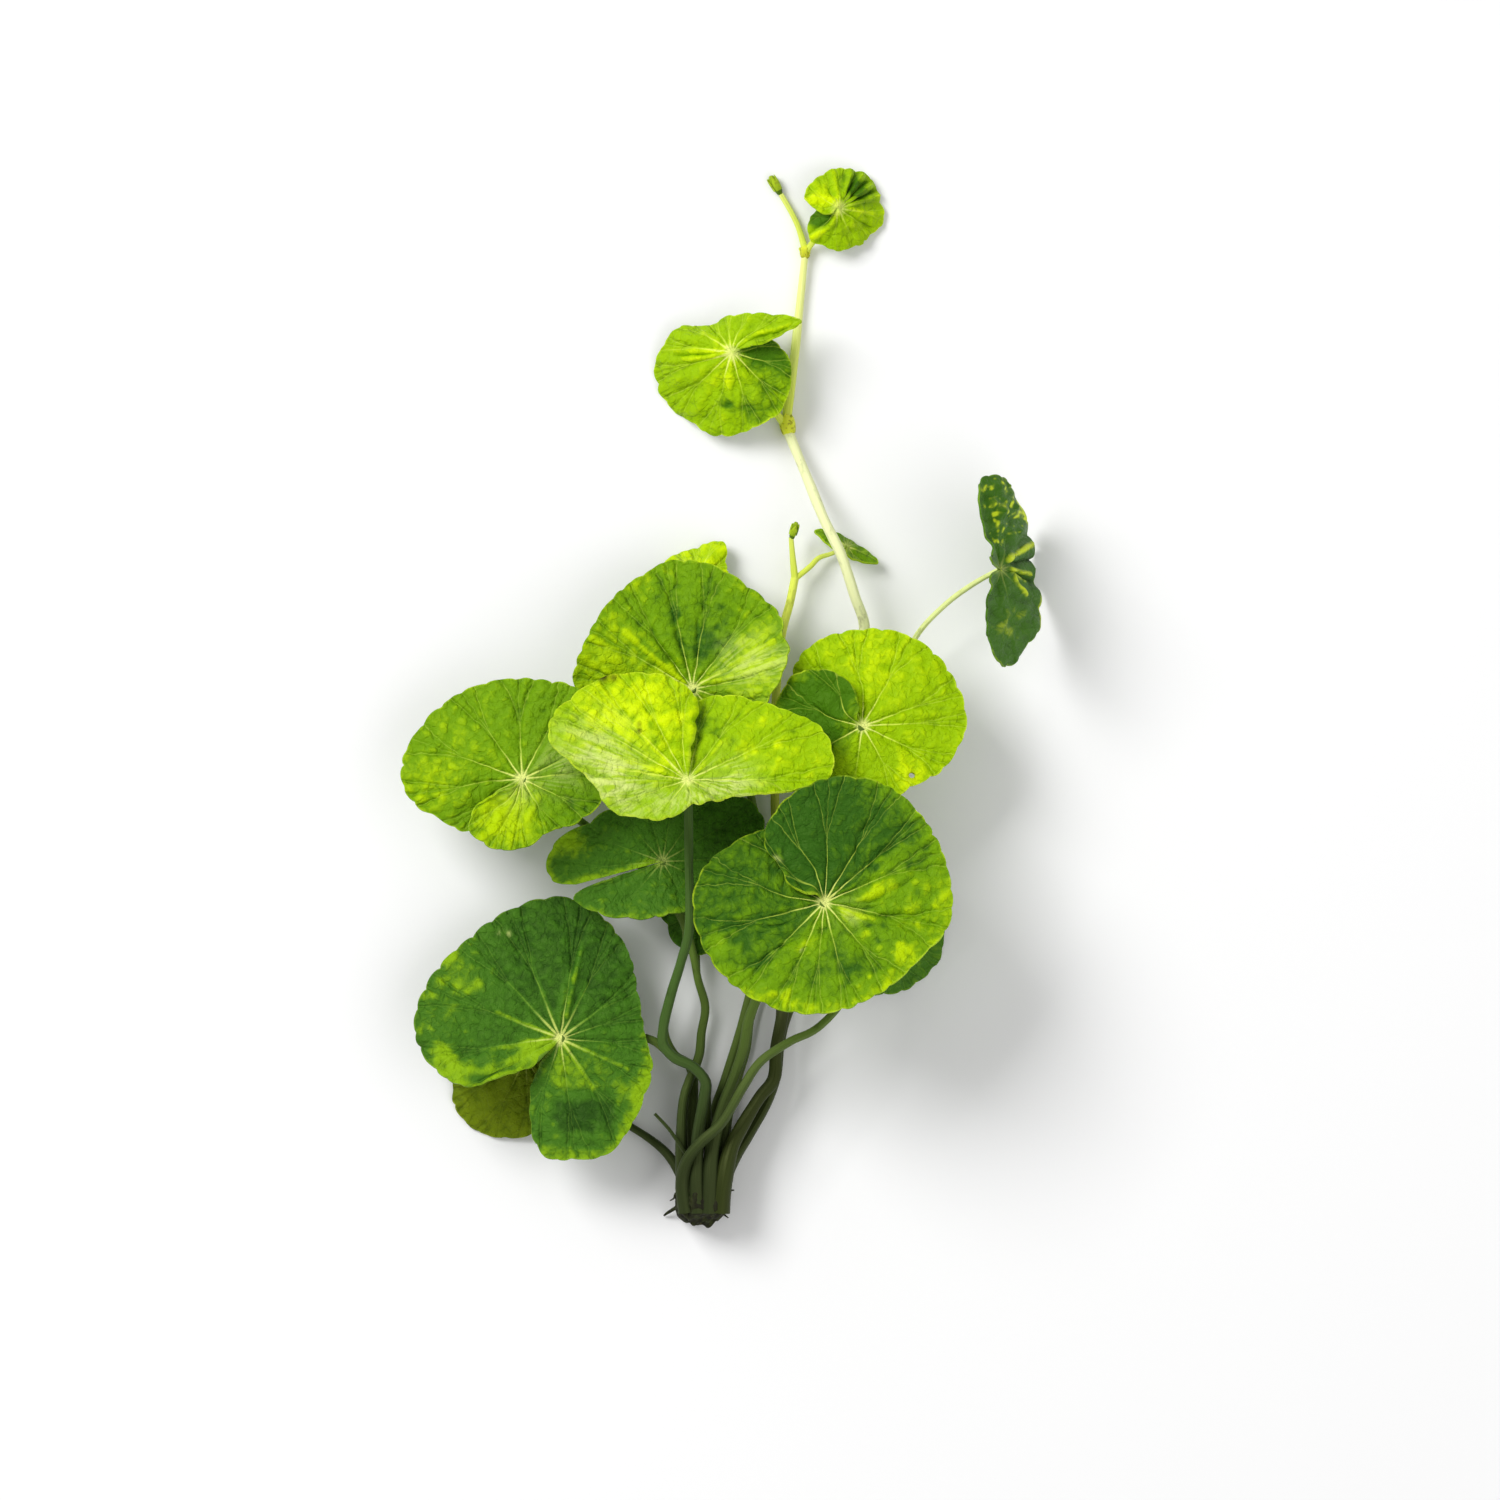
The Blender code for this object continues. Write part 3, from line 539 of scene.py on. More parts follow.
class Recipe:
    """A material's node tree, with a short call for each kind of node that the finishes use."""

    def __init__(self, name: str) -> None:
        """Start a material with a plain shader.

        Args:
            name: The material's name.
        """
        self.material = bpy.data.materials.new(name)
        self.material.use_nodes = True
        self.tree = self.material.node_tree
        self.tree.nodes.clear()
        self.shader = self.add("BsdfPrincipled")
        output = self.add("OutputMaterial")
        self.tree.links.new(self.shader.outputs[0], output.inputs["Surface"])

    def add(self, kind: str) -> bpy.types.Node:
        """Add a node of this kind."""
        return self.tree.nodes.new("ShaderNode" + kind)

    def put(self, target: Socket, value: Given) -> None:
        """Link a socket to a target, or set the target's own value.

        Args:
            target: The socket that takes the value.
            value: What it is given.
        """
        if isinstance(value, Socket):
            self.tree.links.new(value, target)
        elif isinstance(value, tuple) and target.type == "RGBA":
            target.default_value = (*value, 1.0)
        else:
            target.default_value = value

    def node(
        self, kind: str, given: dict[str | int, Given], output: str | int, **settings: str | bool
    ) -> Socket:
        """Add a node and read one of its outputs.

        Args:
            kind: The kind of node.
            given: What its inputs are given, by their names or numbers.
            output: The output's name or number.
            settings: The node's own settings.

        Returns:
            The output.
        """
        node = self.add(kind)
        for name, value in settings.items():
            setattr(node, name, value)
        for name, value in given.items():
            self.put(node.inputs[name], value)
        return node.outputs[output]

    def math(self, operation: str, *values: Given, clamp: bool = False) -> Socket:
        """Work out one number from others, kept from 0 to 1 if it is clamped."""
        return self.node("Math", dict(enumerate(values)), 0, operation=operation, use_clamp=clamp)

    def plus(self, first: Given, second: Given) -> Socket:
        """Add two numbers."""
        return self.math("ADD", first, second)

    def less(self, first: Given, second: Given) -> Socket:
        """Take the second number from the first."""
        return self.math("SUBTRACT", first, second)

    def times(self, first: Given, second: Given, clamp: bool = False) -> Socket:
        """Multiply two numbers."""
        return self.math("MULTIPLY", first, second, clamp=clamp)

    def spread(self, value: Given, amount: float) -> Socket:
        """Turn noise from 0 to 1 into an amount about zero."""
        return self.times(self.less(value, 0.5), amount)

    def ramp(
        self, value: Given, start: Given, stop: Given, low: float = 0.0, high: float = 1.0
    ) -> Socket:
        """Go smoothly from low to high while a value goes from start to stop.

        Args:
            value: The value.
            start: Where the slope starts.
            stop: Where it stops.
            low: The number up to the start.
            high: The number from the stop on.

        Returns:
            The number.
        """
        given = {"Value": value, "From Min": start, "From Max": stop, "To Min": low, "To Max": high}
        return self.node("MapRange", given, "Result", interpolation_type="SMOOTHSTEP")

    def mix(self, share: Given, first: Given, second: Given) -> Socket:
        """Mix this share of a second colour into a first."""
        given = {"Factor": share, FIRST_COLOUR: first, SECOND_COLOUR: second}
        return self.node("Mix", given, MIXED_COLOUR, data_type="RGBA")

    def attribute(self, name: str) -> tuple[Socket, Socket, Socket, Socket]:
        """Read a vector that the mesh holds.

        Args:
            name: The attribute's name.

        Returns:
            The vector and its three numbers.
        """
        vector = self.node("Attribute", {}, "Vector", attribute_name=name)
        split = self.add("SeparateXYZ")
        self.put(split.inputs[0], vector)
        return vector, split.outputs[0], split.outputs[1], split.outputs[2]

    def object_place(self) -> Socket:
        """Read Object coordinates."""
        return self.node("TexCoord", {}, "Object")

    def vector(self, x: Given, y: Given) -> Socket:
        """Put two numbers together into a place."""
        return self.node("CombineXYZ", {0: x, 1: y}, 0)

    def scaled(self, vector: Socket, scale: Point) -> Socket:
        """Stretch a vector this much each way."""
        return self.node("VectorMath", {0: vector, 1: scale}, 0, operation="MULTIPLY")

    def strayed(self, vector: Socket, scale: float) -> Socket:
        """Push a place about in its plane, by noise of this scale."""
        drift = self.node("TexNoise", {"Vector": vector, "Scale": scale}, "Color")
        return self.node("VectorMath", {0: vector, 1: self.scaled(drift, IN_PLANE)}, 0)

    def noise(self, vector: Socket, scale: float, detail: float = 3.0, rough: float = 0.55) -> Socket:
        """Read soft noise at a place.

        Args:
            vector: The place.
            scale: How often the noise repeats in the place's unit.
            detail: How many finer layers it has.
            rough: How strong the finer layers are.

        Returns:
            A number from 0 to 1.
        """
        given = {"Vector": vector, "Scale": scale, "Detail": detail, "Roughness": rough}
        return self.node("TexNoise", given, "Fac")

    def cells(self, vector: Socket, scale: float) -> Socket:
        """Read how far a place is from the nearest border between irregular cells of this scale."""
        given = {"Vector": vector, "Scale": scale}
        return self.node("TexVoronoi", given, "Distance", feature="DISTANCE_TO_EDGE")

    def finish(
        self,
        colour: Socket,
        roughness: Given,
        height: Socket,
        specular: float,
        tint: Colour = (1.0, 1.0, 1.0),
    ) -> bpy.types.Material:
        """Send a colour, a roughness and a height to the shader.

        Args:
            colour: The colour.
            roughness: The roughness.
            height: The height of the surface, in millimetres.
            specular: How strongly the surface shines.
            tint: The colour of its shine.

        Returns:
            The material.
        """
        given = {
            "Normal": self.node("Bump", {"Distance": MM, "Height": height}, 0),
            "Base Color": colour,
            "Roughness": roughness,
            "Specular IOR Level": specular,
            "Specular Tint": tint,
        }
        for name, value in given.items():
            self.put(self.shader.inputs[name], value)
        return self.material


@dataclass(frozen=True)
class BladeFinish:
    """A blade's upper and lower face: satin tissue with pale palmate veins.

    The upper face goes from deep over body to light as its tone goes from 0 over 0.5 to 1. The tone
    holds the tissue's own shades and also painted light and painted shade. Mottle, clouds, streaks and
    netting say how far each of them changes the tone, and furrow says how much painted shade darkens the
    tissue beside a vein, near the hub and further out. The rim colour is a pale line along the margin,
    partly the margin's own paler edge and partly a painted highlight. Shine is the strength of the gloss.
    """

    name: str
    deep: Colour
    body: Colour
    light: Colour
    vein: Colour
    rim: Colour
    below: Colour
    vein_strength: float = 0.8
    mottle: float = 0.3
    clouds: float = 0.44
    streaks: float = 0.07
    netting: float = 0.07
    furrow: Span = (0.02, 0.12)
    shine: float = 0.17
    lower_shine: float = 0.22

    def network(self, recipe: Recipe) -> dict[str, Socket]:
        """Work out the veins from the mesh's own measures.

        Args:
            recipe: The material that is being made.

        Returns:
            The sockets that both faces use, by name.
        """
        _, phase, gap, fork = recipe.attribute("net")
        _, share, rim, tone = recipe.attribute("place")
        plane, x, y, pale = recipe.attribute("plane")
        _, scar, veined, star = recipe.attribute("marks")
        flat = recipe.scaled(plane, IN_PLANE)
        from_hub = recipe.math("SQRT", recipe.plus(recipe.times(x, x), recipe.times(y, y)))
        rays = recipe.vector(recipe.times(phase, 4.5), recipe.times(share, 2.6))
        wobble = recipe.times(recipe.spread(recipe.noise(flat, 0.4, 2.0), 0.16), share)
        aside = recipe.math("PINGPONG", recipe.plus(phase, wobble), 0.5)
        main_gap = recipe.times(aside, gap)
        side_gap = recipe.times(recipe.math("ABSOLUTE", recipe.less(aside, fork)), gap)
        width = recipe.ramp(share, 0.0, 0.8, *MAIN_VEIN)
        main = recipe.ramp(main_gap, recipe.times(width, 1.6), recipe.times(width, 0.5))
        main = recipe.times(main, recipe.ramp(share, 0.12, 0.75, 1.0, 0.2))
        side = recipe.times(recipe.ramp(side_gap, *SIDE_VEIN), recipe.ramp(fork, 0.0, 0.08, 0.0, 0.3))
        fade = recipe.ramp(recipe.noise(flat, 0.25, 2.0), 0.3, 0.6, 0.35, 1.0)
        fade = recipe.math("MAXIMUM", fade, recipe.ramp(share, 0.4, 0.15))
        lines = recipe.times(recipe.times(recipe.math("MAXIMUM", main, side), fade), veined)
        nearest = recipe.math("MINIMUM", main_gap, side_gap)
        return {
            "share": share,
            "rim": rim,
            "tone": tone,
            "pale": pale,
            "scar": scar,
            "star": star,
            "flat": flat,
            "rays": rays,
            "from_hub": from_hub,
            "lines": lines,
            "netting": recipe.ramp(recipe.cells(recipe.strayed(flat, 1.1), 0.62), 0.2, 0.0),
            "groove": recipe.times(recipe.ramp(nearest, FURROW, 0.0), veined),
        }

    def upper(self) -> bpy.types.Material:
        """Make the upper face's material.

        Returns:
            The material.
        """
        recipe = Recipe(f"{self.name}_upper")
        net = self.network(recipe)
        flat = net["flat"]
        streak = recipe.noise(net["rays"], 1.0, 4.0, 0.6)
        tone = recipe.plus(net["tone"], recipe.spread(recipe.noise(flat, 0.17, 3.0), self.mottle))
        tone = recipe.plus(tone, recipe.spread(streak, self.streaks))
        tone = recipe.plus(tone, recipe.spread(recipe.noise(flat, 0.8, 4.0, 0.65), self.clouds))
        # Painted shade darkens the tissue in the furrows beside the veins.
        furrow = recipe.times(net["groove"], recipe.ramp(net["share"], 0.2, 0.5, *self.furrow))
        tone = recipe.less(recipe.less(tone, furrow), recipe.times(net["netting"], self.netting))
        colour = recipe.mix(recipe.ramp(tone, 0.0, 0.5), self.deep, self.body)
        colour = recipe.mix(recipe.ramp(tone, 0.5, 1.0), colour, self.light)
        pale = recipe.times(net["pale"], recipe.ramp(streak, 0.42, 0.6, 0.12, 1.0), clamp=True)
        colour = recipe.mix(pale, colour, WHITISH)
        vein = recipe.times(net["lines"], self.vein_strength, clamp=True)
        vein_colour = recipe.mix(recipe.ramp(net["share"], 0.36, 0.04), self.vein, HUB_VEIN)
        colour = recipe.mix(vein, colour, vein_colour)
        # A pale line along the margin in stretches: partly the margin's own paler edge, partly a painted
        # highlight where light catches it.
        stretch = recipe.ramp(recipe.noise(flat, 0.2, 3.0), 0.42, 0.6, 0.08, 0.7)
        colour = recipe.mix(recipe.times(recipe.ramp(net["rim"], 0.34, 0.06), stretch), colour, self.rim)
        star = recipe.ramp(recipe.plus(net["from_hub"], recipe.spread(streak, 2.6)), 1.7, 0.4)
        colour = recipe.mix(recipe.times(star, net["star"]), colour, HUB_STAR)
        colour = recipe.mix(net["scar"], colour, SCORCH)
        height = recipe.times(net["groove"], -0.22)
        height = recipe.less(height, recipe.times(net["netting"], 0.11))
        height = recipe.plus(height, recipe.times(recipe.noise(net["rays"], 0.7, 1.0), 0.12))
        height = recipe.plus(height, recipe.times(recipe.noise(flat, 0.8, 3.0), 0.5))
        height = recipe.plus(height, recipe.times(recipe.noise(flat, 3.0, 3.0), 0.07))
        roughness = recipe.ramp(recipe.noise(flat, 0.5), 0.3, 0.7, 0.46, 0.62)
        return recipe.finish(colour, roughness, height, self.shine, SKIN_SHINE)

    def lower(self) -> bpy.types.Material:
        """Make the lower face's material, paler and duller, with proud veins.

        Returns:
            The material.
        """
        recipe = Recipe(f"{self.name}_lower")
        net = self.network(recipe)
        flat = net["flat"]
        mottle = recipe.ramp(recipe.noise(flat, 0.2, 4.0), 0.3, 0.7)
        colour = recipe.mix(recipe.times(mottle, 0.4), self.below, self.body)
        colour = recipe.mix(recipe.times(net["netting"], 0.16), colour, self.vein)
        colour = recipe.mix(recipe.times(net["lines"], 0.95, clamp=True), colour, LOWER_VEIN)
        # The pale margin line again, partly the margin's own paler edge, partly a painted highlight.
        colour = recipe.mix(recipe.times(recipe.ramp(net["rim"], 0.42, 0.1), 0.6), colour, self.rim)
        colour = recipe.mix(net["scar"], colour, SCORCH)
        height = recipe.times(net["groove"], 0.2)
        height = recipe.plus(height, recipe.times(recipe.noise(flat, 1.6, 3.0), 0.16))
        return recipe.finish(colour, 0.6, height, self.lower_shine, SKIN_SHINE)


@dataclass(frozen=True)
class StalkFinish:
    """A juicy round stalk with fine lengthwise streaks, its colour turning between two distances."""

    name: str
    slot: Slot
    foot: Colour
    head: Colour
    streak: Colour
    turns: Span
    dots: float = 0.0
    shine: float = 0.22

    def material(self) -> bpy.types.Material:
        """Make the material, which reads each stalk's own grain and length.

        Returns:
            The material.
        """
        recipe = Recipe(self.name)
        grain, _, _, run = recipe.attribute("grain")
        fibres = recipe.noise(recipe.scaled(grain, FIBRES), 1.0, 4.0, 0.6)
        blotch = recipe.noise(recipe.scaled(grain, BLOTCHES), 1.0, 3.0)
        turned = recipe.ramp(run, *self.turns)
        lighter = tuple(c * 1.7 for c in self.foot)
        streak = recipe.mix(turned, lighter, self.streak)
        colour = recipe.mix(turned, self.foot, self.head)
        colour = recipe.mix(recipe.ramp(fibres, 0.45, 0.8, 0.0, 0.55), colour, streak)
        colour = recipe.mix(recipe.ramp(blotch, 0.56, 0.8, 0.0, 0.45), colour, self.foot)
        if self.dots:
            spots = recipe.ramp(recipe.noise(recipe.scaled(grain, DOTS), 1.0, 1.0), 0.56, 0.66)
            colour = recipe.mix(recipe.times(spots, self.dots), colour, BROWN_DOT)
        ridges = recipe.noise(recipe.scaled(grain, RIDGES), 1.0, 2.0)
        height = recipe.plus(recipe.times(ridges, 0.16), recipe.times(blotch, 0.05))
        roughness = recipe.ramp(fibres, 0.3, 0.7, 0.34, 0.5)
        return recipe.finish(colour, roughness, height, self.shine, SKIN_SHINE)


@dataclass(frozen=True)
class StockFinish:
    """The crown's dark, earthy skin."""

    name: str
    dark: Colour
    pale: Colour
    green: Colour
    shine: float = 0.14

    def material(self) -> bpy.types.Material:
        """Make the material, which reads Object coordinates, in metres.

        Returns:
            The material.
        """
        recipe = Recipe(self.name)
        place = recipe.object_place()
        streaks = recipe.noise(recipe.scaled(place, (900.0, 160.0, 900.0)), 1.0, 5.0, 0.6)
        blotch = recipe.noise(place, 260.0, 4.0)
        grit = recipe.noise(place, 1500.0, 3.0)
        colour = recipe.mix(recipe.ramp(streaks, 0.35, 0.7), self.dark, self.green)
        colour = recipe.mix(recipe.ramp(blotch, 0.5, 0.75, 0.0, 0.6), colour, self.dark)
        colour = recipe.mix(recipe.ramp(grit, 0.62, 0.75, 0.0, 0.5), colour, self.pale)
        height = recipe.plus(recipe.times(streaks, 0.35), recipe.times(grit, 0.12))
        return recipe.finish(colour, recipe.ramp(grit, 0.3, 0.7, 0.6, 0.85), height, self.shine)


@dataclass(frozen=True)
class FloorFinish:
    """A plain, pale, matt studio surface."""

    name: str
    colour: Colour

    def material(self) -> bpy.types.Material:
        """Make the material, with the faintest unevenness.

        Returns:
            The material.
        """
        recipe = Recipe(self.name)
        place = recipe.object_place()
        darker = tuple(c * 0.985 for c in self.colour)
        colour = recipe.mix(recipe.noise(place, 9.0, 2.0), self.colour, darker)
        height = recipe.times(recipe.noise(place, 900.0), 0.01)
        return recipe.finish(colour, 0.9, height, 0.1)


# The yellow-green of young leaves, with painted sunlight on the leaves that lie in the sun.
BRIGHT = BladeFinish(
    "bright_blade",
    deep=srgb(66, 112, 10),
    body=srgb(146, 186, 0),
    light=srgb(206, 232, 0),
    vein=srgb(226, 240, 90),
    rim=srgb(200, 224, 50),
    below=srgb(122, 158, 40),
)
GREEN = BladeFinish(
    "green_blade",
    deep=srgb(46, 91, 18),
    body=srgb(106, 150, 8),
    light=srgb(174, 206, 0),
    vein=srgb(206, 226, 84),
    rim=srgb(176, 206, 40),
    below=srgb(102, 140, 40),
)
# The deep green of the leaves that lie in shade: partly their own darker tissue, partly painted shade.
DEEP_SHADED = BladeFinish(
    "deep_shaded_blade",
    deep=srgb(38, 75, 20),
    body=srgb(64, 111, 26),
    light=srgb(132, 172, 18),
    vein=srgb(140, 178, 60),
    rim=srgb(132, 168, 44),
    below=srgb(82, 116, 36),
    vein_strength=0.55,
)
OLIVE = BladeFinish(
    "olive_blade",
    deep=srgb(52, 78, 10),
    body=srgb(104, 124, 12),
    light=srgb(154, 168, 20),
    vein=srgb(152, 166, 56),
    rim=srgb(152, 168, 44),
    below=srgb(92, 108, 32),
    vein_strength=0.4,
)
SIDE = replace(DEEP_SHADED, name="side_blade", light=srgb(206, 226, 40))
# The centre petiole runs in the shade of leaf_centre, so its head is painted darker than the olive stalks'.
SHADE_STALK = StalkFinish(
    "shade_stalk", Slot.STEM_OLIVE, srgb(42, 51, 27), srgb(68, 97, 42), srgb(80, 108, 54), (4.0, 50.0)
)
OLIVE_STALK = StalkFinish(
    "olive_stalk", Slot.STEM_OLIVE, srgb(42, 51, 27), srgb(92, 118, 46), srgb(112, 134, 66), (4.0, 62.0)
)
GREEN_STALK = StalkFinish(
    "green_stalk", Slot.STEM_OLIVE, srgb(44, 54, 24), srgb(222, 233, 150), srgb(232, 240, 176), (30.0, 105.0)
)
PALE_STALK = StalkFinish(
    "pale_stalk", Slot.STEM_PALE, srgb(212, 226, 84), srgb(232, 239, 144), srgb(244, 248, 196), (0.0, 25.0)
)
RUNNER_STALK = StalkFinish(
    "runner_stalk", Slot.STEM_PALE, srgb(42, 50, 20), srgb(234, 238, 178), srgb(246, 248, 214), (30.0, 120.0)
)
SHOOT_STALK = replace(
    RUNNER_STALK, name="shoot_stalk", head=srgb(226, 237, 92), streak=srgb(238, 244, 132)
)
JOINT = StalkFinish(
    "runner_joint",
    Slot.STEM_PALE,
    srgb(176, 178, 40),
    srgb(222, 230, 56),
    srgb(240, 244, 120),
    (0.0, 3.0),
    dots=0.5,
)
BUD = StalkFinish(
    "bud_scales",
    Slot.STEM_PALE,
    srgb(78, 112, 14),
    srgb(170, 196, 36),
    srgb(120, 152, 30),
    (0.5, 5.0),
    dots=0.35,
)
STOCK = StockFinish("stock", srgb(26, 25, 13), srgb(112, 102, 64), srgb(54, 60, 28))
PALE_FLOOR = FloorFinish("studio_floor", (0.9, 0.9, 0.9))


# Blades.


@dataclass(frozen=True)
class Patch:
    """A spot on a blade: where it lies about the hub, how wide it is and what it changes.

    Its edge is soft at a sharpness of 2, and crisper above.
    """

    bearing: float
    reach: float
    size: float
    amount: float
    paint: Paint = Paint.TONE
    sharpness: float = 2.0


@dataclass(frozen=True)
class Glow:
    """A stretch of a blade along its margin with painted light on it, or painted shade where its amount is
    below zero, and how deep it goes.
    """

    first: float
    last: float
    depth: float
    amount: float
    edge: float = 18.0


@dataclass(frozen=True)
class Fold:
    """A crease along a line of (bearing, reach) points: its width, its height and its light, which paints a
    highlight on it when above zero and painted shade in it when below.
    """

    line: Table
    width: float
    height: float
    light: float = 0.0


def sprinkle(
    seed: int,
    bearings: Span,
    reaches: Span,
    count: int,
    size: float,
    amount: float,
    paint: Paint = Paint.TONE,
) -> tuple[Patch, ...]:
    """Strew small spots over a part of a blade.

    Args:
        seed: What fixes their places.
        bearings: The first and last bearing.
        reaches: The least and greatest distance from the hub, in millimetres.
        count: How many spots.
        size: Their mean size, in millimetres.
        amount: Their mean strength.
        paint: What they change.

    Returns:
        The spots.
    """
    draw = np.random.default_rng(seed)
    return tuple(
        Patch(
            draw.uniform(*bearings),
            math.sqrt(draw.uniform(reaches[0] ** 2, reaches[1] ** 2)),
            size * draw.uniform(0.6, 1.4),
            amount * draw.uniform(0.5, 1.5),
            paint,
        )
        for _ in range(count)
    )


@dataclass(frozen=True)
class Hole:
    """A hole eaten through a blade."""

    bearing: float
    reach: float
    radius: float


@dataclass
class Blade:
    """A blade: a sheet stretched from its hub to a scalloped margin, with puffed tissue.

    Margin and height give the reach and the height of the margin at each bearing. Lap lifts one end
    lobe over the other. Tooth is the usual width of a scallop. Puff lifts the tissue between veins,
    ripple and crumple make it uneven, and veins fork from forks_at on. Crumple shading paints the
    crumple's puffs lighter and its dips darker, as painted light and painted shade.
    """

    node: str
    slot: Slot
    finish: BladeFinish
    hub: Point
    margin: Table
    height: Table
    lap: float = 0.0
    veins: tuple[float, ...] = ()
    patches: tuple[Patch, ...] = ()
    glows: tuple[Glow, ...] = ()
    folds: tuple[Fold, ...] = ()
    holes: tuple[Hole, ...] = ()
    tone: float = 0.5
    thickness: float = 0.36
    tooth: float = 4.2
    tooth_depth: float = 0.5
    puff: float = 0.3
    ripple: float = 0.2
    crumple: float = 0.2
    crumple_shading: float = 0.09
    forks_at: float = 0.52
    star: float = 0.9
    veins_show: float = 1.0

    @property
    def first(self) -> float:
        """The bearing at which the margin starts."""
        return self.margin[0][0]

    @property
    def last(self) -> float:
        """The bearing at which the margin ends."""
        return self.margin[-1][0]

    def sheet(self, bearing: np.ndarray, share: np.ndarray) -> np.ndarray:
        """Find points of the smooth sheet.

        Args:
            bearing: Bearings about the hub.
            share: How far from the hub to the margin each point lies, from 0 to 1.

        Returns:
            The points, in millimetres.
        """
        middle = (self.first + self.last) / 2
        narrowed = min(1.0, SINUS_SPAN / (self.last - self.first))
        opening = smooth_step((share - SINUS_CLOSES) / (SINUS_OPENS - SINUS_CLOSES))
        turn = np.radians(middle + (bearing - middle) * (narrowed + (1.0 - narrowed) * opening))
        reach = share * read_table(self.margin, bearing)
        x, y, z = self.hub
        rise = (read_table(self.height, bearing) - z) * share**CUPPING
        toward_end = (bearing - middle) / (self.last - middle)
        widest = max(row[1] for row in self.margin)
        overlap = self.lap / 2 * toward_end**3 * smooth_step(reach / (LAP_RUN * widest))
        return np.stack(
            [x + reach * np.cos(turn), y + reach * np.sin(turn), z + rise + overlap], axis=-1
        )

    def straightened(self, bearing: np.ndarray, share: np.ndarray) -> tuple[np.ndarray, np.ndarray]:
        """Undo the turn that closes the sinus, except in the end lobes, so that veins run straight.

        Args:
            bearing: Bearings about the hub, as the margin counts them.
            share: How far from the hub to the margin each point lies, from 0 to 1.

        Returns:
            The bearings that veins follow, and the angle to the nearer sinus edge, in radians.
        """
        middle = (self.first + self.last) / 2
        half = (self.last - self.first) / 2
        straight_part = min(STRAIGHT_VEINS, half * 0.8)
        narrowed = min(1.0, SINUS_SPAN / (self.last - self.first))
        opening = smooth_step((share - SINUS_CLOSES) / (SINUS_OPENS - SINUS_CLOSES))
        drawn = narrowed + (1.0 - narrowed) * opening
        turned = (bearing - middle) * drawn
        lobe = (half * drawn - straight_part) / (half - straight_part)
        beyond = straight_part + (np.abs(turned) - straight_part) / lobe
        size = np.where(np.abs(turned) < straight_part, np.abs(turned), beyond)
        return middle + np.sign(turned) * size, np.radians(half * drawn - np.abs(turned))

    def margin_run(self) -> tuple[np.ndarray, np.ndarray, np.ndarray]:
        """Walk along the smooth margin.

        Returns:
            Finely spaced bearings, the margin's points there, and the distance walked to each.
        """
        fine = np.linspace(self.first, self.last, FINE_STEPS + 1)
        rim = self.sheet(fine, np.ones_like(fine))
        return fine, rim, run_along(rim)

    def rim_bearings(self, columns: int) -> np.ndarray:
        """Find bearings that divide the margin evenly.

        Args:
            columns: How many steps the margin is divided into.

        Returns:
            The bearings, from the last to the first, so that faces look up.
        """
        fine, _, run = self.margin_run()
        return np.interp(np.linspace(run[-1], 0.0, columns + 1), run, fine)

    def divisions(self) -> tuple[int, int]:
        """Choose how finely the sheet is divided.

        Returns:
            The number of steps along the margin, and of those from hub to margin.
        """
        _, rim, run = self.margin_run()
        across = np.linalg.norm(rim - np.array(self.hub), axis=1).max()
        return max(round(run[-1] / CELL), LEAST_COLUMNS), max(round(across / CELL), LEAST_ROWS)

    def scallops(self, bearing: np.ndarray) -> np.ndarray:
        """Find how far the margin is drawn in.

        Args:
            bearing: Bearings about the hub.

        Returns:
            How far at each of them, in millimetres: none in the middle of a tooth.
        """
        fine, _, run = self.margin_run()
        draw = np.random.default_rng(seed_of(self.node))
        count = max(round(run[-1] / self.tooth), 3)
        widths = draw.uniform(0.6, 1.5, count)
        nicks = np.concatenate([[0.0], np.cumsum(widths) / widths.sum()]) * run[-1]
        depths = draw.uniform(0.55, 1.25, count + 1) * self.tooth_depth
        at = np.interp(bearing, fine, run)
        i = np.clip(np.searchsorted(nicks, at) - 1, 0, count - 1)
        u = (at - nicks[i]) / (nicks[i + 1] - nicks[i])
        depth = depths[i] * (1 - u) + depths[i + 1] * u
        return depth * (1.0 - np.sin(math.pi * np.clip(u, 0.0, 1.0)) ** 0.55)

    def vein_phase(self, bearing: np.ndarray) -> np.ndarray:
        """Count the veins passed.

        Args:
            bearing: Bearings about the hub.

        Returns:
            A whole number on each vein, and a smooth count between.
        """
        veins = self.veins
        if not veins:
            count = max(round((self.last - self.first) / VEIN_STEP), 4)
            step = (self.last - self.first) / count
            veins = tuple(self.first + step * (i + 0.5) for i in range(count))
        lead = veins[0] - (veins[1] - veins[0])
        tail = veins[-1] + (veins[-1] - veins[-2])
        rows = (lead, *veins, tail)
        return read_table(tuple((at, float(i)) for i, at in enumerate(rows)), bearing)

    def distance(self, bearing: np.ndarray, reach: np.ndarray, at: float, away: float) -> np.ndarray:
        """How far points are from a place on the blade, lobe by lobe where lobes overlap."""
        turn = np.radians(np.clip(np.abs(bearing - at), 0.0, 180.0))
        return np.sqrt(np.maximum(reach**2 + away**2 - 2 * reach * away * np.cos(turn), 0.0))

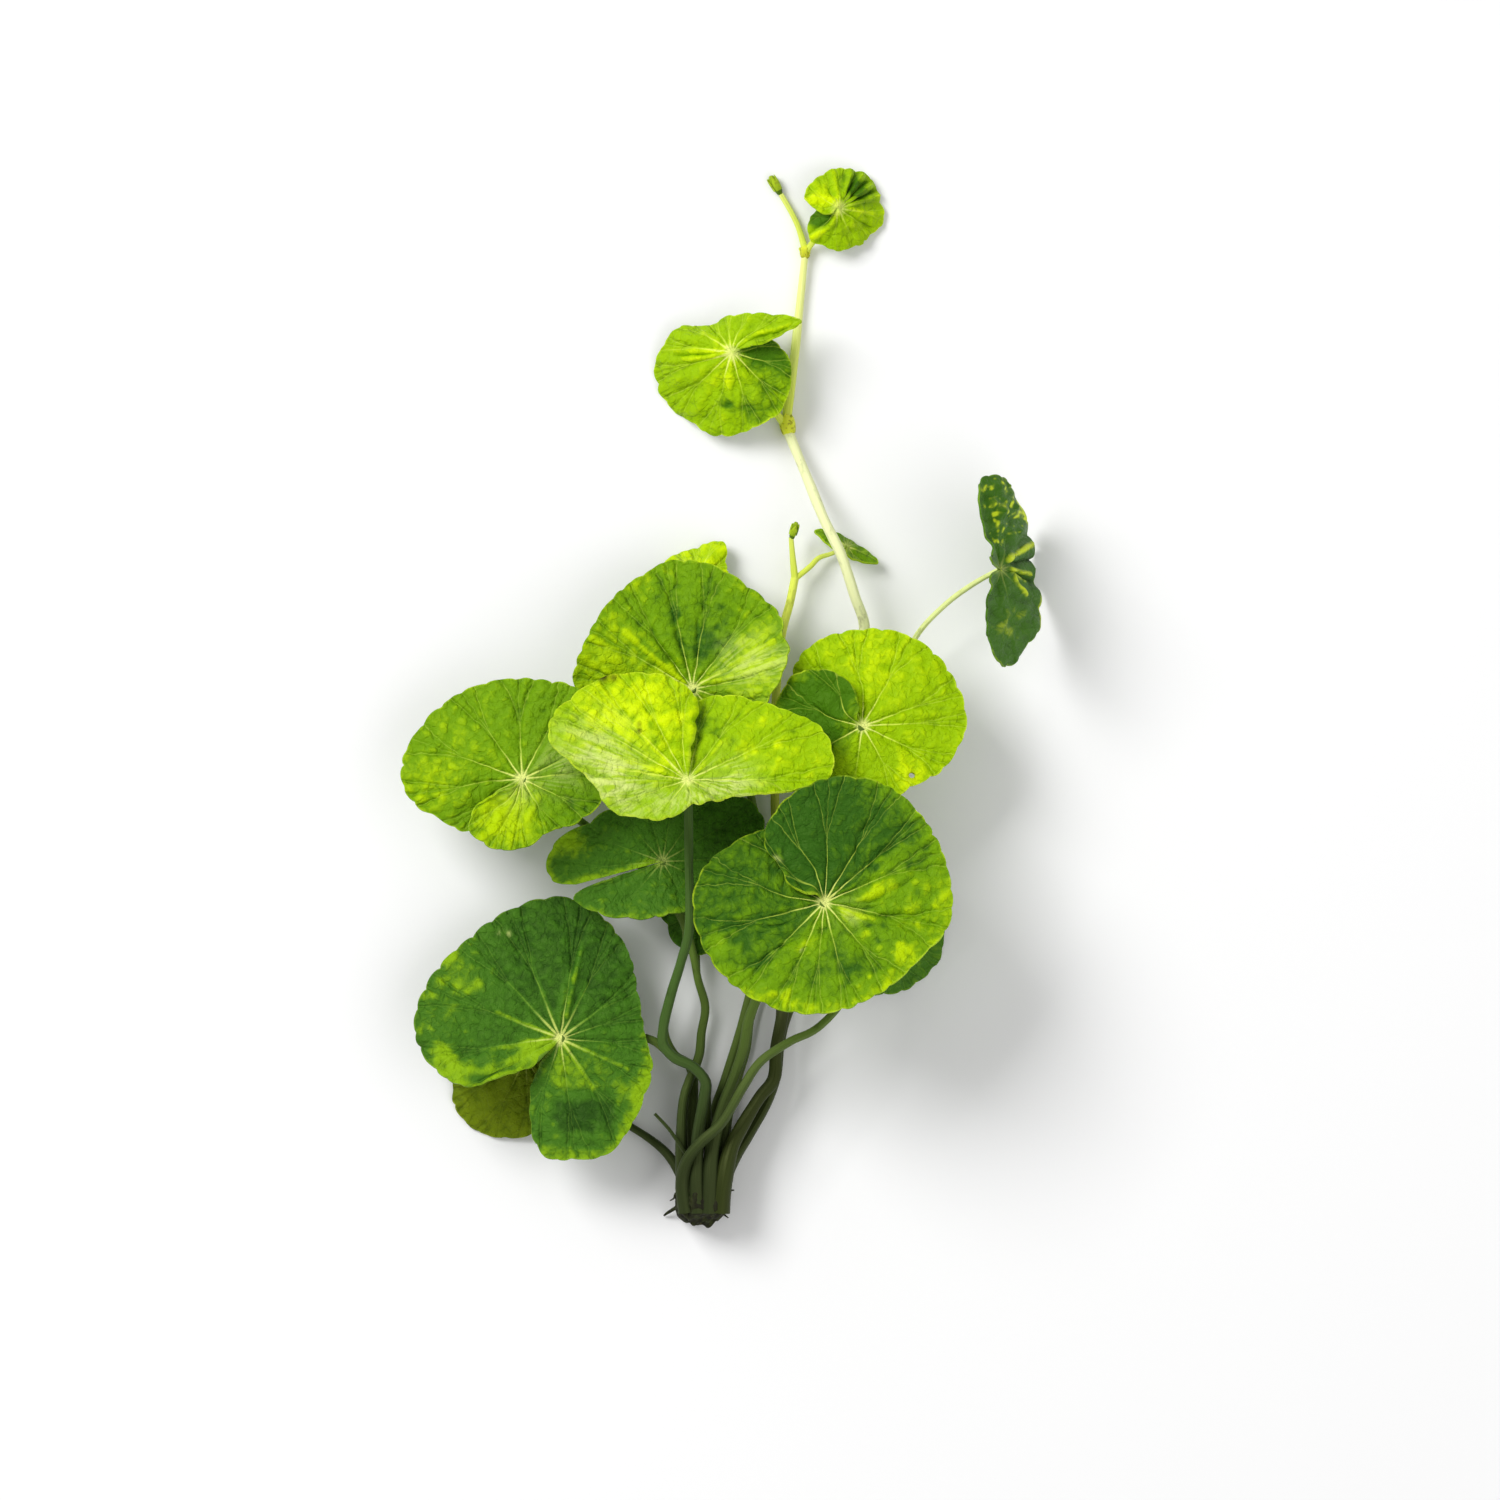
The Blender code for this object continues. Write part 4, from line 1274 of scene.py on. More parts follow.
    def tone_at(
        self, bearing: np.ndarray, reach: np.ndarray, rim: np.ndarray, paint: Paint
    ) -> np.ndarray:
        """Add up the blade's patches and glows.

        Args:
            bearing: The points' bearings.
            reach: Their distances from the hub.
            rim: Their distances from the margin.
            paint: Which paint is wanted.

        Returns:
            How much of that paint each point has.
        """
        total = np.full_like(bearing, self.tone if paint is Paint.TONE else 0.0)
        for patch in self.patches:
            if patch.paint is paint:
                away = self.distance(bearing, reach, patch.bearing, patch.reach)
                total += patch.amount * np.exp(-((away / patch.size) ** patch.sharpness))
        if paint is Paint.TONE:
            for glow in self.glows:
                since = smooth_step((bearing - glow.first) / glow.edge)
                until = smooth_step((glow.last - bearing) / glow.edge)
                total += glow.amount * since * until * np.exp(-((rim / glow.depth) ** 2))
        return total

    def ridge(self, fold: Fold, bearing: np.ndarray, reach: np.ndarray) -> np.ndarray:
        """How much of a fold's height each point has, from 0 to 1.

        Args:
            fold: The fold.
            bearing: The points' bearings.
            reach: Their distances from the hub.

        Returns:
            One on the fold's line, falling to zero beside and beyond it.
        """
        x, y = reach * np.cos(np.radians(bearing)), reach * np.sin(np.radians(bearing))
        nearest = np.full_like(bearing, 1e3)
        for (turn_0, out_0), (turn_1, out_1) in zip(fold.line, fold.line[1:]):
            a = out_0 * np.exp(1j * math.radians(turn_0))
            along = out_1 * np.exp(1j * math.radians(turn_1)) - a
            u = ((x - a.real) * along.real + (y - a.imag) * along.imag) / abs(along) ** 2
            u = np.clip(u, 0.0, 1.0)
            away = np.hypot(x - a.real - u * along.real, y - a.imag - u * along.imag)
            own_lobe = np.abs(bearing - (turn_0 + turn_1) / 2) < OWN_LOBE
            nearest = np.where(own_lobe, np.minimum(nearest, away), nearest)
        return np.exp(-((nearest / fold.width) ** 2))

    def build(self) -> bpy.types.Object:
        """Shape the blade from a grid, close its hub, cut its holes and give it its wall.

        Returns:
            The finished object.
        """
        columns, rows = self.divisions()
        deselect()
        bpy.ops.mesh.primitive_grid_add(x_subdivisions=columns, y_subdivisions=rows, size=2.0)
        obj = take(self.node + "_blade")
        grid = coordinates(obj)
        column = np.rint((grid[:, 0] + 1) / 2 * columns).astype(int)
        row = np.rint((grid[:, 1] + 1) / 2 * rows).astype(int)

        # The smooth sheet, drawn in at its margin by the nicks between scallops.
        bearings = self.rim_bearings(columns)
        shares = np.linspace(0.0, 1.0, rows + 1)
        bearing, share = np.meshgrid(bearings, shares, indexing="ij")
        full = read_table(self.margin, bearing)
        drawn_in = self.scallops(bearing) * smooth_step((share - 0.75) / 0.25)
        inner = np.clip(share - drawn_in / np.maximum(full, 2.0), 0.0, 1.0)
        points = self.sheet(bearing, inner)
        reach = inner * full
        rim = np.linalg.norm(points - points[:, -1:, :], axis=2)

        # How far each point is from the margin, from the nearest vein and from that vein's forks.
        straight, edge = self.straightened(bearing, inner)
        rim = np.minimum(rim, edge * reach)
        phase = self.vein_phase(straight)
        turned = self.vein_phase(straight + 0.5) - self.vein_phase(straight - 0.5)
        gap = reach * math.radians(1.0) / np.maximum(turned, 1e-3)
        veined = smooth_step(edge * reach / 1.2)
        seed = seed_of(self.node)
        spread = 0.25 + 0.05 * waves(phase * 10, phase * 0, 7.0, seed)
        fork = spread * np.clip((share - self.forks_at) / (1 - self.forks_at), 0, 1) ** 0.8
        aside = np.abs(phase - np.rint(phase))
        nearest = np.minimum(aside, np.abs(aside - fork)) * gap

        # The sheet's own up, and how far the tissue is puffed, crumpled and folded along it.
        along_u = np.gradient(points, axis=0)
        along_v = np.gradient(points, axis=1)
        normal = np.cross(along_u, along_v)
        length = np.linalg.norm(normal, axis=2, keepdims=True)
        normal = np.where(length > 1e-9, normal / np.maximum(length, 1e-9), (0.0, 0.0, 1.0))
        flat_x = reach * np.cos(np.radians(bearing))
        flat_y = reach * np.sin(np.radians(bearing))
        window = smooth_step(reach / 4.0)
        furrow = 1.0 - np.exp(-((nearest / 1.1) ** 2)) * veined
        crumpled = PLEAT_WEIGHT * waves(phase * 6.0, reach * 0.6, PLEATS, seed + 3, 14)
        crumpled += PUCKER_WEIGHT * waves(flat_x, flat_y, PUCKERS, seed + 2, 14)
        relief = self.puff * furrow * window
        relief += self.ripple * waves(flat_x, flat_y, RIPPLES, seed + 1) * window
        relief += self.crumple * crumpled * window
        relief += self.tone_at(bearing, reach, rim, Paint.RELIEF)
        # The crumple's puffs get painted light and its dips painted shade, and each fold paints a highlight
        # on a ridge and shade in a crease.
        tone = self.tone_at(bearing, reach, rim, Paint.TONE) + self.crumple_shading * crumpled * window
        for fold in self.folds:
            ridge = self.ridge(fold, bearing, reach)
            relief += fold.height * ridge
            tone += fold.light * ridge
        points = points + normal * relief[..., None]

        # What the two materials read: the veins, the tones and the markings.
        def spread_out(*parts: np.ndarray) -> np.ndarray:
            """Give each vertex of the grid its own row of a set of measures."""
            return np.stack([part[column, row] for part in parts], axis=-1)

        place_vertices(obj, points[column, row] * MM)
        pale = np.clip(self.tone_at(bearing, reach, rim, Paint.PALE), 0.0, 1.0)
        scar = np.clip(self.tone_at(bearing, reach, rim, Paint.SCAR), 0.0, 1.0)
        star = np.full_like(scar, self.star)
        store(obj, "net", spread_out(phase + 20.0, gap, fork), "CORNER")
        store(obj, "place", spread_out(share, rim, tone), "CORNER")
        store(obj, "plane", spread_out(flat_x, flat_y, pale), "CORNER")
        store(obj, "marks", spread_out(scar, veined * self.veins_show, star), "CORNER")
        for hole in self.holes:
            self.pierce(obj, hole, bearing[column, row], reach[column, row])
        weld(obj, closed=False)
        for side, make in (("upper", self.finish.upper), ("lower", self.finish.lower)):
            obj.data.materials.append(made_once(f"{self.finish.name}_{side}", make))
        thicken(obj, self.thickness, 1)
        settle(obj)
        declare(obj, self.slot, self.node)
        return obj

    def pierce(
        self, obj: bpy.types.Object, hole: Hole, bearing: np.ndarray, reach: np.ndarray
    ) -> None:
        """Eat a round hole through the sheet.

        Args:
            obj: The sheet.
            hole: Where the hole is and how large.
            bearing: The vertices' bearings.
            reach: Their distances from the hub.
        """
        # The faces about the hole's middle go, and the vertices left round them move to its edge.
        away = self.distance(bearing, reach, hole.bearing, hole.reach)
        centre = Vector(coordinates(obj)[int(np.argmin(away))])
        inside = set(np.flatnonzero(away < hole.radius * 0.62).tolist())
        mesh = obj.data
        unselect_mesh()
        edge = set()
        for face in mesh.polygons:
            face.select = not inside.isdisjoint(face.vertices)
            if face.select:
                edge.update(set(face.vertices) - inside)
        for index in edge:
            out = mesh.vertices[index].co - centre
            mesh.vertices[index].co = centre + out.normalized() * hole.radius * MM
        bpy.ops.object.mode_set(mode="EDIT")
        bpy.ops.mesh.select_mode(type="FACE")
        bpy.ops.mesh.delete(type="FACE")
        bpy.ops.mesh.select_mode(type="VERT")
        bpy.ops.object.mode_set(mode="OBJECT")


# Stalks.


def beside(place: Point, dx: float, dy: float, dz: float = 0.0) -> Point:
    """The point this far from a place."""
    return (place[0] + dx, place[1] + dy, place[2] + dz)


def under(blade: Blade, dx: float = 0.0, dy: float = 0.0, dz: float = -SEATED) -> Point:
    """Where a petiole meets its blade: just inside the hub."""
    return beside(blade.hub, dx, dy, dz)


def base(column: int, row: int) -> Point:
    """Where a stalk leaves the crown, counting columns and rows from one."""
    return (CROWN_COLUMNS[column - 1], CROWN_FACE_Y, CROWN_ROWS[row - 1])


def root_of(foot: Point) -> Point:
    """Find where a stalk is rooted, deeper in the crown and nearer to its middle.

    Args:
        foot: Where the stalk leaves the crown.

    Returns:
        The place of its root.
    """
    x = CROWN_MIDDLE[0] + (foot[0] - CROWN_MIDDLE[0]) * GATHERED[0]
    z = CROWN_MIDDLE[1] + (foot[2] - CROWN_MIDDLE[1]) * GATHERED[1]
    return (x, foot[1] - ROOTED, z)


@dataclass
class Stalk:
    """A tapered, slightly uneven stalk bent along a smooth route.

    Its widths are those of its foot and its head. It widens by its sheath near the foot and by its
    flare at the head.
    """

    node: str
    finish: StalkFinish
    route: tuple[Point, ...]
    widths: tuple[float, float]
    sheath: float = 0.0
    flare: float = 0.0
    step: float = 0.8
    sides: int = 24
    uneven: float = 0.05
    flutes: int = 5
    fluting: float = 0.035

    def path(self) -> np.ndarray:
        """Find evenly spaced points along the smooth curve through the route's points.

        Returns:
            The points, in millimetres.
        """
        rooted = self.route[0][1] == CROWN_FACE_Y
        route = ((root_of(self.route[0]),) if rooted else ()) + self.route
        ends = [np.array(point, float) for point in route]
        ends = [2 * ends[0] - ends[1], *ends, 2 * ends[-1] - ends[-2]]
        fine = []
        for before, start, stop, after in zip(ends, ends[1:], ends[2:], ends[3:]):
            pairs = ((before, start), (start, stop), (stop, after))
            left, span, right = (math.sqrt(np.linalg.norm(b - a)) for a, b in pairs)
            slope_0 = (start - before) / left - (stop - before) / (left + span) + (stop - start) / span
            slope_1 = (stop - start) / span - (after - start) / (span + right) + (after - stop) / right
            for u in np.linspace(0.0, 1.0, ROUTE_STEPS, endpoint=False):
                fine.append(between(start, slope_0, stop, slope_1, span, u))
        fine.append(ends[-2])
        fine = np.array(fine)
        run = run_along(fine)
        even = np.linspace(0.0, run[-1], max(round(run[-1] / self.step), 4) + 1)
        return np.stack([np.interp(even, run, fine[:, i]) for i in range(3)], axis=1)

    def radii(self, run: np.ndarray) -> np.ndarray:
        """Work out the stalk's radius at each distance from its foot.

        Args:
            run: The distances, in millimetres.

        Returns:
            The radii, in millimetres.
        """
        share = run / run[-1]
        radius = (self.widths[0] + (self.widths[1] - self.widths[0]) * share) / 2
        radius = radius * (1 + self.uneven * waves(run, run * 0, UNEVEN_RUN, seed_of(self.node)))
        near, far = SHEATH_RUNS
        sheath = 0.4 * np.exp(-run / far) + np.exp(-((run / near) ** 2))
        radius = radius * (1 + self.sheath * sheath)
        return radius * (1 + self.flare * np.exp(-(((run[-1] - run) / FLARE_RUN) ** 2)))

    def build(self) -> bpy.types.Object:
        """Shape the stalk from a rod that is bent along the path.

        Returns:
            The finished object.
        """
        path = self.path()
        rod = Rod.add(self.node + "_stalk", self.sides, len(path) - 1)
        run = run_along(path)
        radius = self.radii(run)
        side, across = frames_along(path)
        draw = np.random.default_rng(seed_of(self.node))
        phase = draw.uniform(*PHASES)
        fluted = 1 + self.fluting * np.cos(self.flutes * rod.turn + phase + 0.02 * run[rod.ring])
        out = rod.out * radius[rod.ring] * fluted
        wrap(rod.obj, path[rod.ring], side[rod.ring], across[rod.ring], out, rod.turn)
        store_grain(rod.obj, rod.out, rod.turn, run[rod.ring])
        weld(rod.obj)
        rod.obj.data.materials.append(made_once(self.finish.name, self.finish.material))
        settle(rod.obj)
        declare(rod.obj, self.finish.slot, self.node)
        return rod.obj


@dataclass(frozen=True)
class Scales:
    """Small pointed scales round a joint or a bud."""

    count: int
    starts_at: float
    length: float
    spread: float
    lift: float


@dataclass
class Knob:
    """A swollen joint or a bud of the runner: a knobbly body with small pointed scales."""

    node: str
    finish: StalkFinish
    start: Point
    end: Point
    width: float
    scales: Scales
    collars: tuple[float, ...] = ()
    knobbly: float = 0.09
    segments: int = 28
    body_rings: int = 18
    scale_grid: tuple[int, int] = (8, 10)
    scale_thickness: float = 0.16
    scale_ground: float = 0.05
    scale_merged: float = 0.02

    def radius_at(self, share: np.ndarray) -> np.ndarray:
        """The body's radius at a share of its length."""
        swollen = 1 + sum(0.3 * np.exp(-(((share - at) / 0.09) ** 2)) for at in self.collars)
        return self.width / 2 * np.sqrt(np.clip(4 * share * (1 - share), 0.0, 1.0)) ** 0.7 * swollen

    def frame(self) -> tuple[np.ndarray, np.ndarray, np.ndarray, np.ndarray]:
        """Find the knob's own directions.

        Returns:
            Its start, the vector along it and two directions across it.
        """
        start, end = np.array(self.start), np.array(self.end)
        side, across = frames_along(np.linspace(start, end, 3))
        return start, end - start, side[0], across[0]

    def body(self) -> bpy.types.Object:
        """Stretch a sphere along the knob and make it uneven.

        Returns:
            The body.
        """
        start, along, side, across = self.frame()
        deselect()
        bpy.ops.mesh.primitive_uv_sphere_add(
            segments=self.segments, ring_count=self.body_rings, radius=1.0
        )
        obj = take(self.node + "_knob")
        shape = coordinates(obj)
        turn = np.arctan2(shape[:, 1], shape[:, 0])
        share = (shape[:, 2] + 1) / 2
        uneven = waves(3 * np.cos(turn), 3 * np.sin(turn) + 6 * share, 3.5, seed_of(self.node))
        radius = self.radius_at(share) * (1 + self.knobbly * uneven)
        wrap(obj, start + along * share[:, None], side, across, radius, turn)
        store_grain(obj, np.ones_like(turn), turn, share * np.linalg.norm(along))
        weld(obj)
        return obj

    def scale(self, index: int) -> bpy.types.Object:
        """Shape one scale from a grid: broad at its foot, pointed, and lifted off at its tip.

        Args:
            index: Which scale it is, counted from zero.

        Returns:
            The scale, with its own thickness.
        """
        start, along, side, across = self.frame()
        deselect()
        columns, rows = self.scale_grid
        bpy.ops.mesh.primitive_grid_add(x_subdivisions=columns, y_subdivisions=rows, size=2.0)
        obj = take(f"{self.node}_scale_{index}")
        grid = coordinates(obj)
        aside = grid[:, 0]
        run = (grid[:, 1] + 1) / 2
        spread = math.radians(self.scales.spread) * np.sin(math.pi * (0.32 + 0.68 * run)) ** 0.8
        turn = index * math.radians(GOLDEN_ANGLE) + aside * spread
        level = self.scales.starts_at * (1 - 0.12 * (index % 3)) + run * self.scales.length
        radius = self.radius_at(np.clip(level, 0.08, 0.97)) + 0.09 + self.scales.lift * run**2
        middle = start + along * level[:, None]
        wrap(obj, middle, side, across, radius, turn, self.scale_ground)
        store_grain(obj, np.ones_like(turn), turn, level * np.linalg.norm(along) + index)
        thicken(obj, self.scale_thickness)
        weld(obj, self.scale_merged)
        return obj

    def build(self) -> bpy.types.Object:
        """Join the body and its scales.

        Returns:
            The finished object.
        """
        obj = join([self.body(), *(self.scale(index) for index in range(self.scales.count))])
        obj.data.materials.append(made_once(self.finish.name, self.finish.material))
        settle(obj, 50.0)
        declare(obj, self.finish.slot, self.node)
        return obj


@dataclass(frozen=True)
class RootStub:
    """A short torn root on the crown."""

    start: Point
    end: Point
    width: float


@dataclass
class Crown:
    """The cut crown: a stock with the ridges of its leaf bases, a ragged end and torn roots.

    Ridge, rough, ragged and hollow say how far the leaf bases, the skin, the torn end and its sunken
    middle move the surface, in millimetres.
    """

    node: str
    slot: Slot
    finish: StockFinish
    stubs: tuple[RootStub, ...]
    ridge: float = 0.42
    rough: float = 0.22
    ragged: float = 0.4
    hollow: float = 0.9
    sides: int = 120
    rings: int = 44
    cap_rings: int = 10
    root_sides: int = 10
    root_rings: int = 12

    def stock(self) -> bpy.types.Object:
        """Shape the stock from a rod by the crown's own rings.

        Returns:
            The stock.
        """
        rod = Rod.add(self.node + "_stock", self.sides, self.rings, self.cap_rings)
        share = rod.ring / self.rings
        y = CROWN_RINGS[0][0] + share * (CROWN_RINGS[-1][0] - CROWN_RINGS[0][0])
        x_middle, z_middle, half_width, half_height = (
            read_table(tuple((row[0], row[i]) for row in CROWN_RINGS), y) for i in (1, 2, 3, 4)
        )
        power = 2 / CROWN_SQUARENESS
        x_way = np.sign(np.cos(rod.turn)) * np.abs(np.cos(rod.turn)) ** power
        z_way = np.sign(np.sin(rod.turn)) * np.abs(np.sin(rod.turn)) ** power
        # Thirteen leaf bases stand side by side round the stock, slightly twisted along it.
        rib = np.abs(np.sin(6.5 * rod.turn + 0.5 * np.sin(y * 0.7)))
        rough = waves(4 * rod.turn * 2, y, 3.0, 71) + 0.6 * waves(9 * rod.turn, y * 1.4, 2.0, 72)
        swell = 1 + (self.ridge * (rib - 0.5) + self.rough * rough) / np.maximum(half_width, 1.0)
        grown = rod.out * swell
        end = smooth_step(1 - share * 5.0)
        across = 5 * rod.out * np.cos(rod.turn)
        up = 5 * rod.out * np.sin(rod.turn)
        torn = self.ragged * end * waves(across, up, 4.5, 73) - self.hollow * end * (1 - rod.out**2)
        places = np.stack(
            [
                x_middle + half_width * x_way * grown,
                y + torn,
                z_middle + half_height * z_way * grown,
            ],
            axis=1,
        )
        places[:, 2] = np.maximum(places[:, 2], GROUND)
        place_vertices(rod.obj, places * MM)
        weld(rod.obj)
        return rod.obj

    def stub(self, index: int, stub: RootStub) -> bpy.types.Object:
        """Shape a torn root from a rod that tapers and droops to the surface.

        Args:
            index: Which root it is, counted from zero.
            stub: Its place and width.

        Returns:
            The root.
        """
        rod = Rod.add(f"{self.node}_root_{index}", self.root_sides, self.root_rings)
        share = np.linspace(0.0, 1.0, self.root_rings + 1)[:, None]
        path = np.array(stub.start) + (np.array(stub.end) - np.array(stub.start)) * share
        path[:, 2] += 0.5 * np.sin(math.pi * share[:, 0])
        path[:, 0] += 0.25 * np.sin(5 * share[:, 0] + index)
        side, across = frames_along(path)
        radius = stub.width / 2 * (1 - 0.75 * share[:, 0]) * (1 + 0.1 * np.sin(9 * share[:, 0] + index))
        out = rod.out * radius[rod.ring]
        wrap(rod.obj, path[rod.ring], side[rod.ring], across[rod.ring], out, rod.turn)
        weld(rod.obj)
        return rod.obj

    def build(self) -> bpy.types.Object:
        """Join the stock and its root stubs.

        Returns:
            The finished object.
        """
        obj = join([self.stock(), *(self.stub(i, stub) for i, stub in enumerate(self.stubs))])
        obj.data.materials.append(self.finish.material())
        settle(obj)
        declare(obj, self.slot, self.node)
        return obj


# Stage.


@dataclass
class Studio:
    """The pale floor, the soft lights and the camera."""

    floor_side: float = 4.0
    key_place: Point = (-0.62, 0.5, 0.8)
    key_side: float = 0.55
    key_power: float = 10.3
    fill_place: Point = (0.6, -0.35, 0.7)
    fill_side: float = 1.2
    fill_power: float = 3.6
    sky_strength: float = 0.47
    sees_to: float = 20.0

    def build(self) -> None:
        """Set up the floor, the lights and the camera."""
        self.lay_floor()
        self.hang_light("key_light", Vector(self.key_place), self.key_side, self.key_power)
        self.hang_light("fill_light", Vector(self.fill_place), self.fill_side, self.fill_power)
        world = bpy.data.worlds.new("studio_world")
        world.use_nodes = True
        backdrop = world.node_tree.nodes["Background"]
        backdrop.inputs["Color"].default_value = (1.0, 1.0, 1.0, 1.0)
        backdrop.inputs["Strength"].default_value = self.sky_strength
        bpy.context.scene.world = world
        bpy.context.scene.view_settings.view_transform = "Standard"
        self.set_camera()

    def lay_floor(self) -> None:
        """Lay the floor under the plant."""
        deselect()
        bpy.ops.mesh.primitive_plane_add(size=self.floor_side, location=(0.0, 0.0, 0.0))
        floor = take("studio_floor")
        floor.data.materials.append(PALE_FLOOR.material())

    def hang_light(self, name: str, place: Vector, side: float, power: float) -> None:
        """Hang a square soft light that points at the plant.

        Args:
            name: The light's name.
            place: Where it hangs, in metres.
            side: The length of its side, in metres.
            power: Its power, in watts.
        """
        deselect()
        bpy.ops.object.light_add(type="AREA", location=place)
        light = bpy.context.object
        light.name = name
        light.data.shape = "SQUARE"
        light.data.size = side
        light.data.energy = power
        light.rotation_euler = (-place).to_track_quat("-Z", "Y").to_euler()

    def set_camera(self) -> None:
        """Look straight down at the middle of the picture, with the picture's scale."""
        width = PICTURE_SIDE * PIXEL
        away = width * CAMERA_LENS / CAMERA_SENSOR + SCALE_HEIGHT
        bpy.ops.object.camera_add(location=(PICTURE_MIDDLE[0] * MM, PICTURE_MIDDLE[1] * MM, away * MM))
        camera = bpy.context.object
        camera.name = "picture_camera"
        camera.rotation_euler = (0.0, 0.0, 0.0)
        camera.data.lens = CAMERA_LENS
        camera.data.sensor_width = CAMERA_SENSOR
        camera.data.clip_end = self.sees_to
        bpy.context.scene.camera = camera


# The plant.


LEAF_FRONT = Blade(
    "leaf_front",
    Slot.LEAF_GREEN,
    GREEN,
    hub=(18.6, -37.5, 31.0),
    margin=(
        (112, 6.0), (118, 11.0), (124, 15.0), (130, 17.0), (151, 20.2), (162, 22.3), (180, 23.7),
        (207, 22.9), (242, 21.1), (270, 19.9), (302, 19.1), (330, 20.0), (350, 22.8), (375, 23.0),
        (405, 23.5), (420, 23.8), (435, 23.4), (450, 22.2), (465, 20.6), (480, 18.4), (492, 16.2),
        (498, 13.9), (500, 10.8), (504, 9.3), (513, 7.3), (517, 6.0),
    ),
    height=((112, 31), (150, 31.5), (200, 32), (250, 35), (290, 36.5), (330, 34), (360, 31.5),
            (420, 29.5), (450, 30), (517, 31.5)),
    lap=2.8,
    veins=(135, 165, 195, 225, 247, 265, 283.5, 311, 348, 383.5, 401, 419, 448, 475, 500),
    patches=(
        # Painted shadow over the upper lobes (452, 485), and painted light on the two ridges beside the hub
        # (338, 374).
        Patch(452, 13, 11, -0.14, sharpness=4), Patch(485, 11, 7, -0.14), Patch(432, 10, 4, 0.08),
        Patch(338, 5.5, 2.4, 0.4, sharpness=3), Patch(374, 9.2, 2.2, 0.34), Patch(385, 12, 3.4, 0.24),
        Patch(252, 8, 2.6, 0.28, sharpness=3), Patch(362, 16, 4, 0.3), Patch(290, 13, 4, -0.14),
        Patch(310, 10, 2.4, 0.25), Patch(345, 15, 3, 0.15), Patch(300, 14, 3, -0.1),
        Patch(232, 8.5, 2.6, 0.2), Patch(200, 18, 5, -0.08), Patch(201, 20.5, 1.8, 0.5),
        Patch(498.5, 11.5, 0.7, 0.9, Paint.PALE),
        *sprinkle(11, (318, 400), (9, 21), 36, 0.7, 0.24),
        *sprinkle(12, (240, 340), (12, 19), 26, 0.7, 0.22),
        *sprinkle(13, (180, 260), (8, 19), 22, 0.8, 0.14),
        *sprinkle(14, (318, 420), (8, 21), 26, 0.7, -0.2),
        Patch(242.6, 9.35, 0.3, 2.5, Paint.PALE), Patch(338, 5, 2.4, 0.3, Paint.PALE),
        Patch(330, 6, 2.2, 0.45, Paint.RELIEF), Patch(382, 10, 2.2, 0.4, Paint.RELIEF),
        Patch(253, 8, 1.8, 0.3, Paint.RELIEF), Patch(300, 11, 2.0, 0.3, Paint.RELIEF),
    ),
    # The glows paint light along the lower rim and the upper right rim, and over the lower half.
    glows=(Glow(195, 385, 4.0, 0.36), Glow(370, 440, 2.5, 0.22), Glow(224, 396, 60, 0.16, 5)),
    folds=(
        Fold(((365, 9), (372, 14), (378, 19)), 0.5, -0.5, -0.12),
        Fold(((405, 9), (400, 14), (402, 19)), 0.45, -0.45, -0.12),
        Fold(((348, 10), (352, 15), (349, 19)), 0.45, -0.45, -0.12),
        Fold(((225, 9), (222, 14), (226, 19)), 0.4, -0.4, -0.12),
        Fold(((196, 6), (199, 12), (193, 18)), 0.4, -0.4, -0.1),
        Fold(((421, 9), (424, 14), (418, 19)), 0.4, -0.35, -0.08),
        Fold(((346, 3), (341, 6), (341, 9.4)), 0.6, 0.6, 0.5),
        Fold(((371, 6), (374, 10)), 0.6, 0.5, 0.35), Fold(((352, 5), (357, 9)), 0.5, -0.5, -0.2),
        Fold(((412, 2), (398, 5.5), (404, 9.5), (414, 14)), 0.22, 0.25, 0.2),
        Fold(((503, 8.2), (497, 10.5), (491, 12.5)), 0.5, 0.35, 0.3),
    ),
    tone=0.2,
)

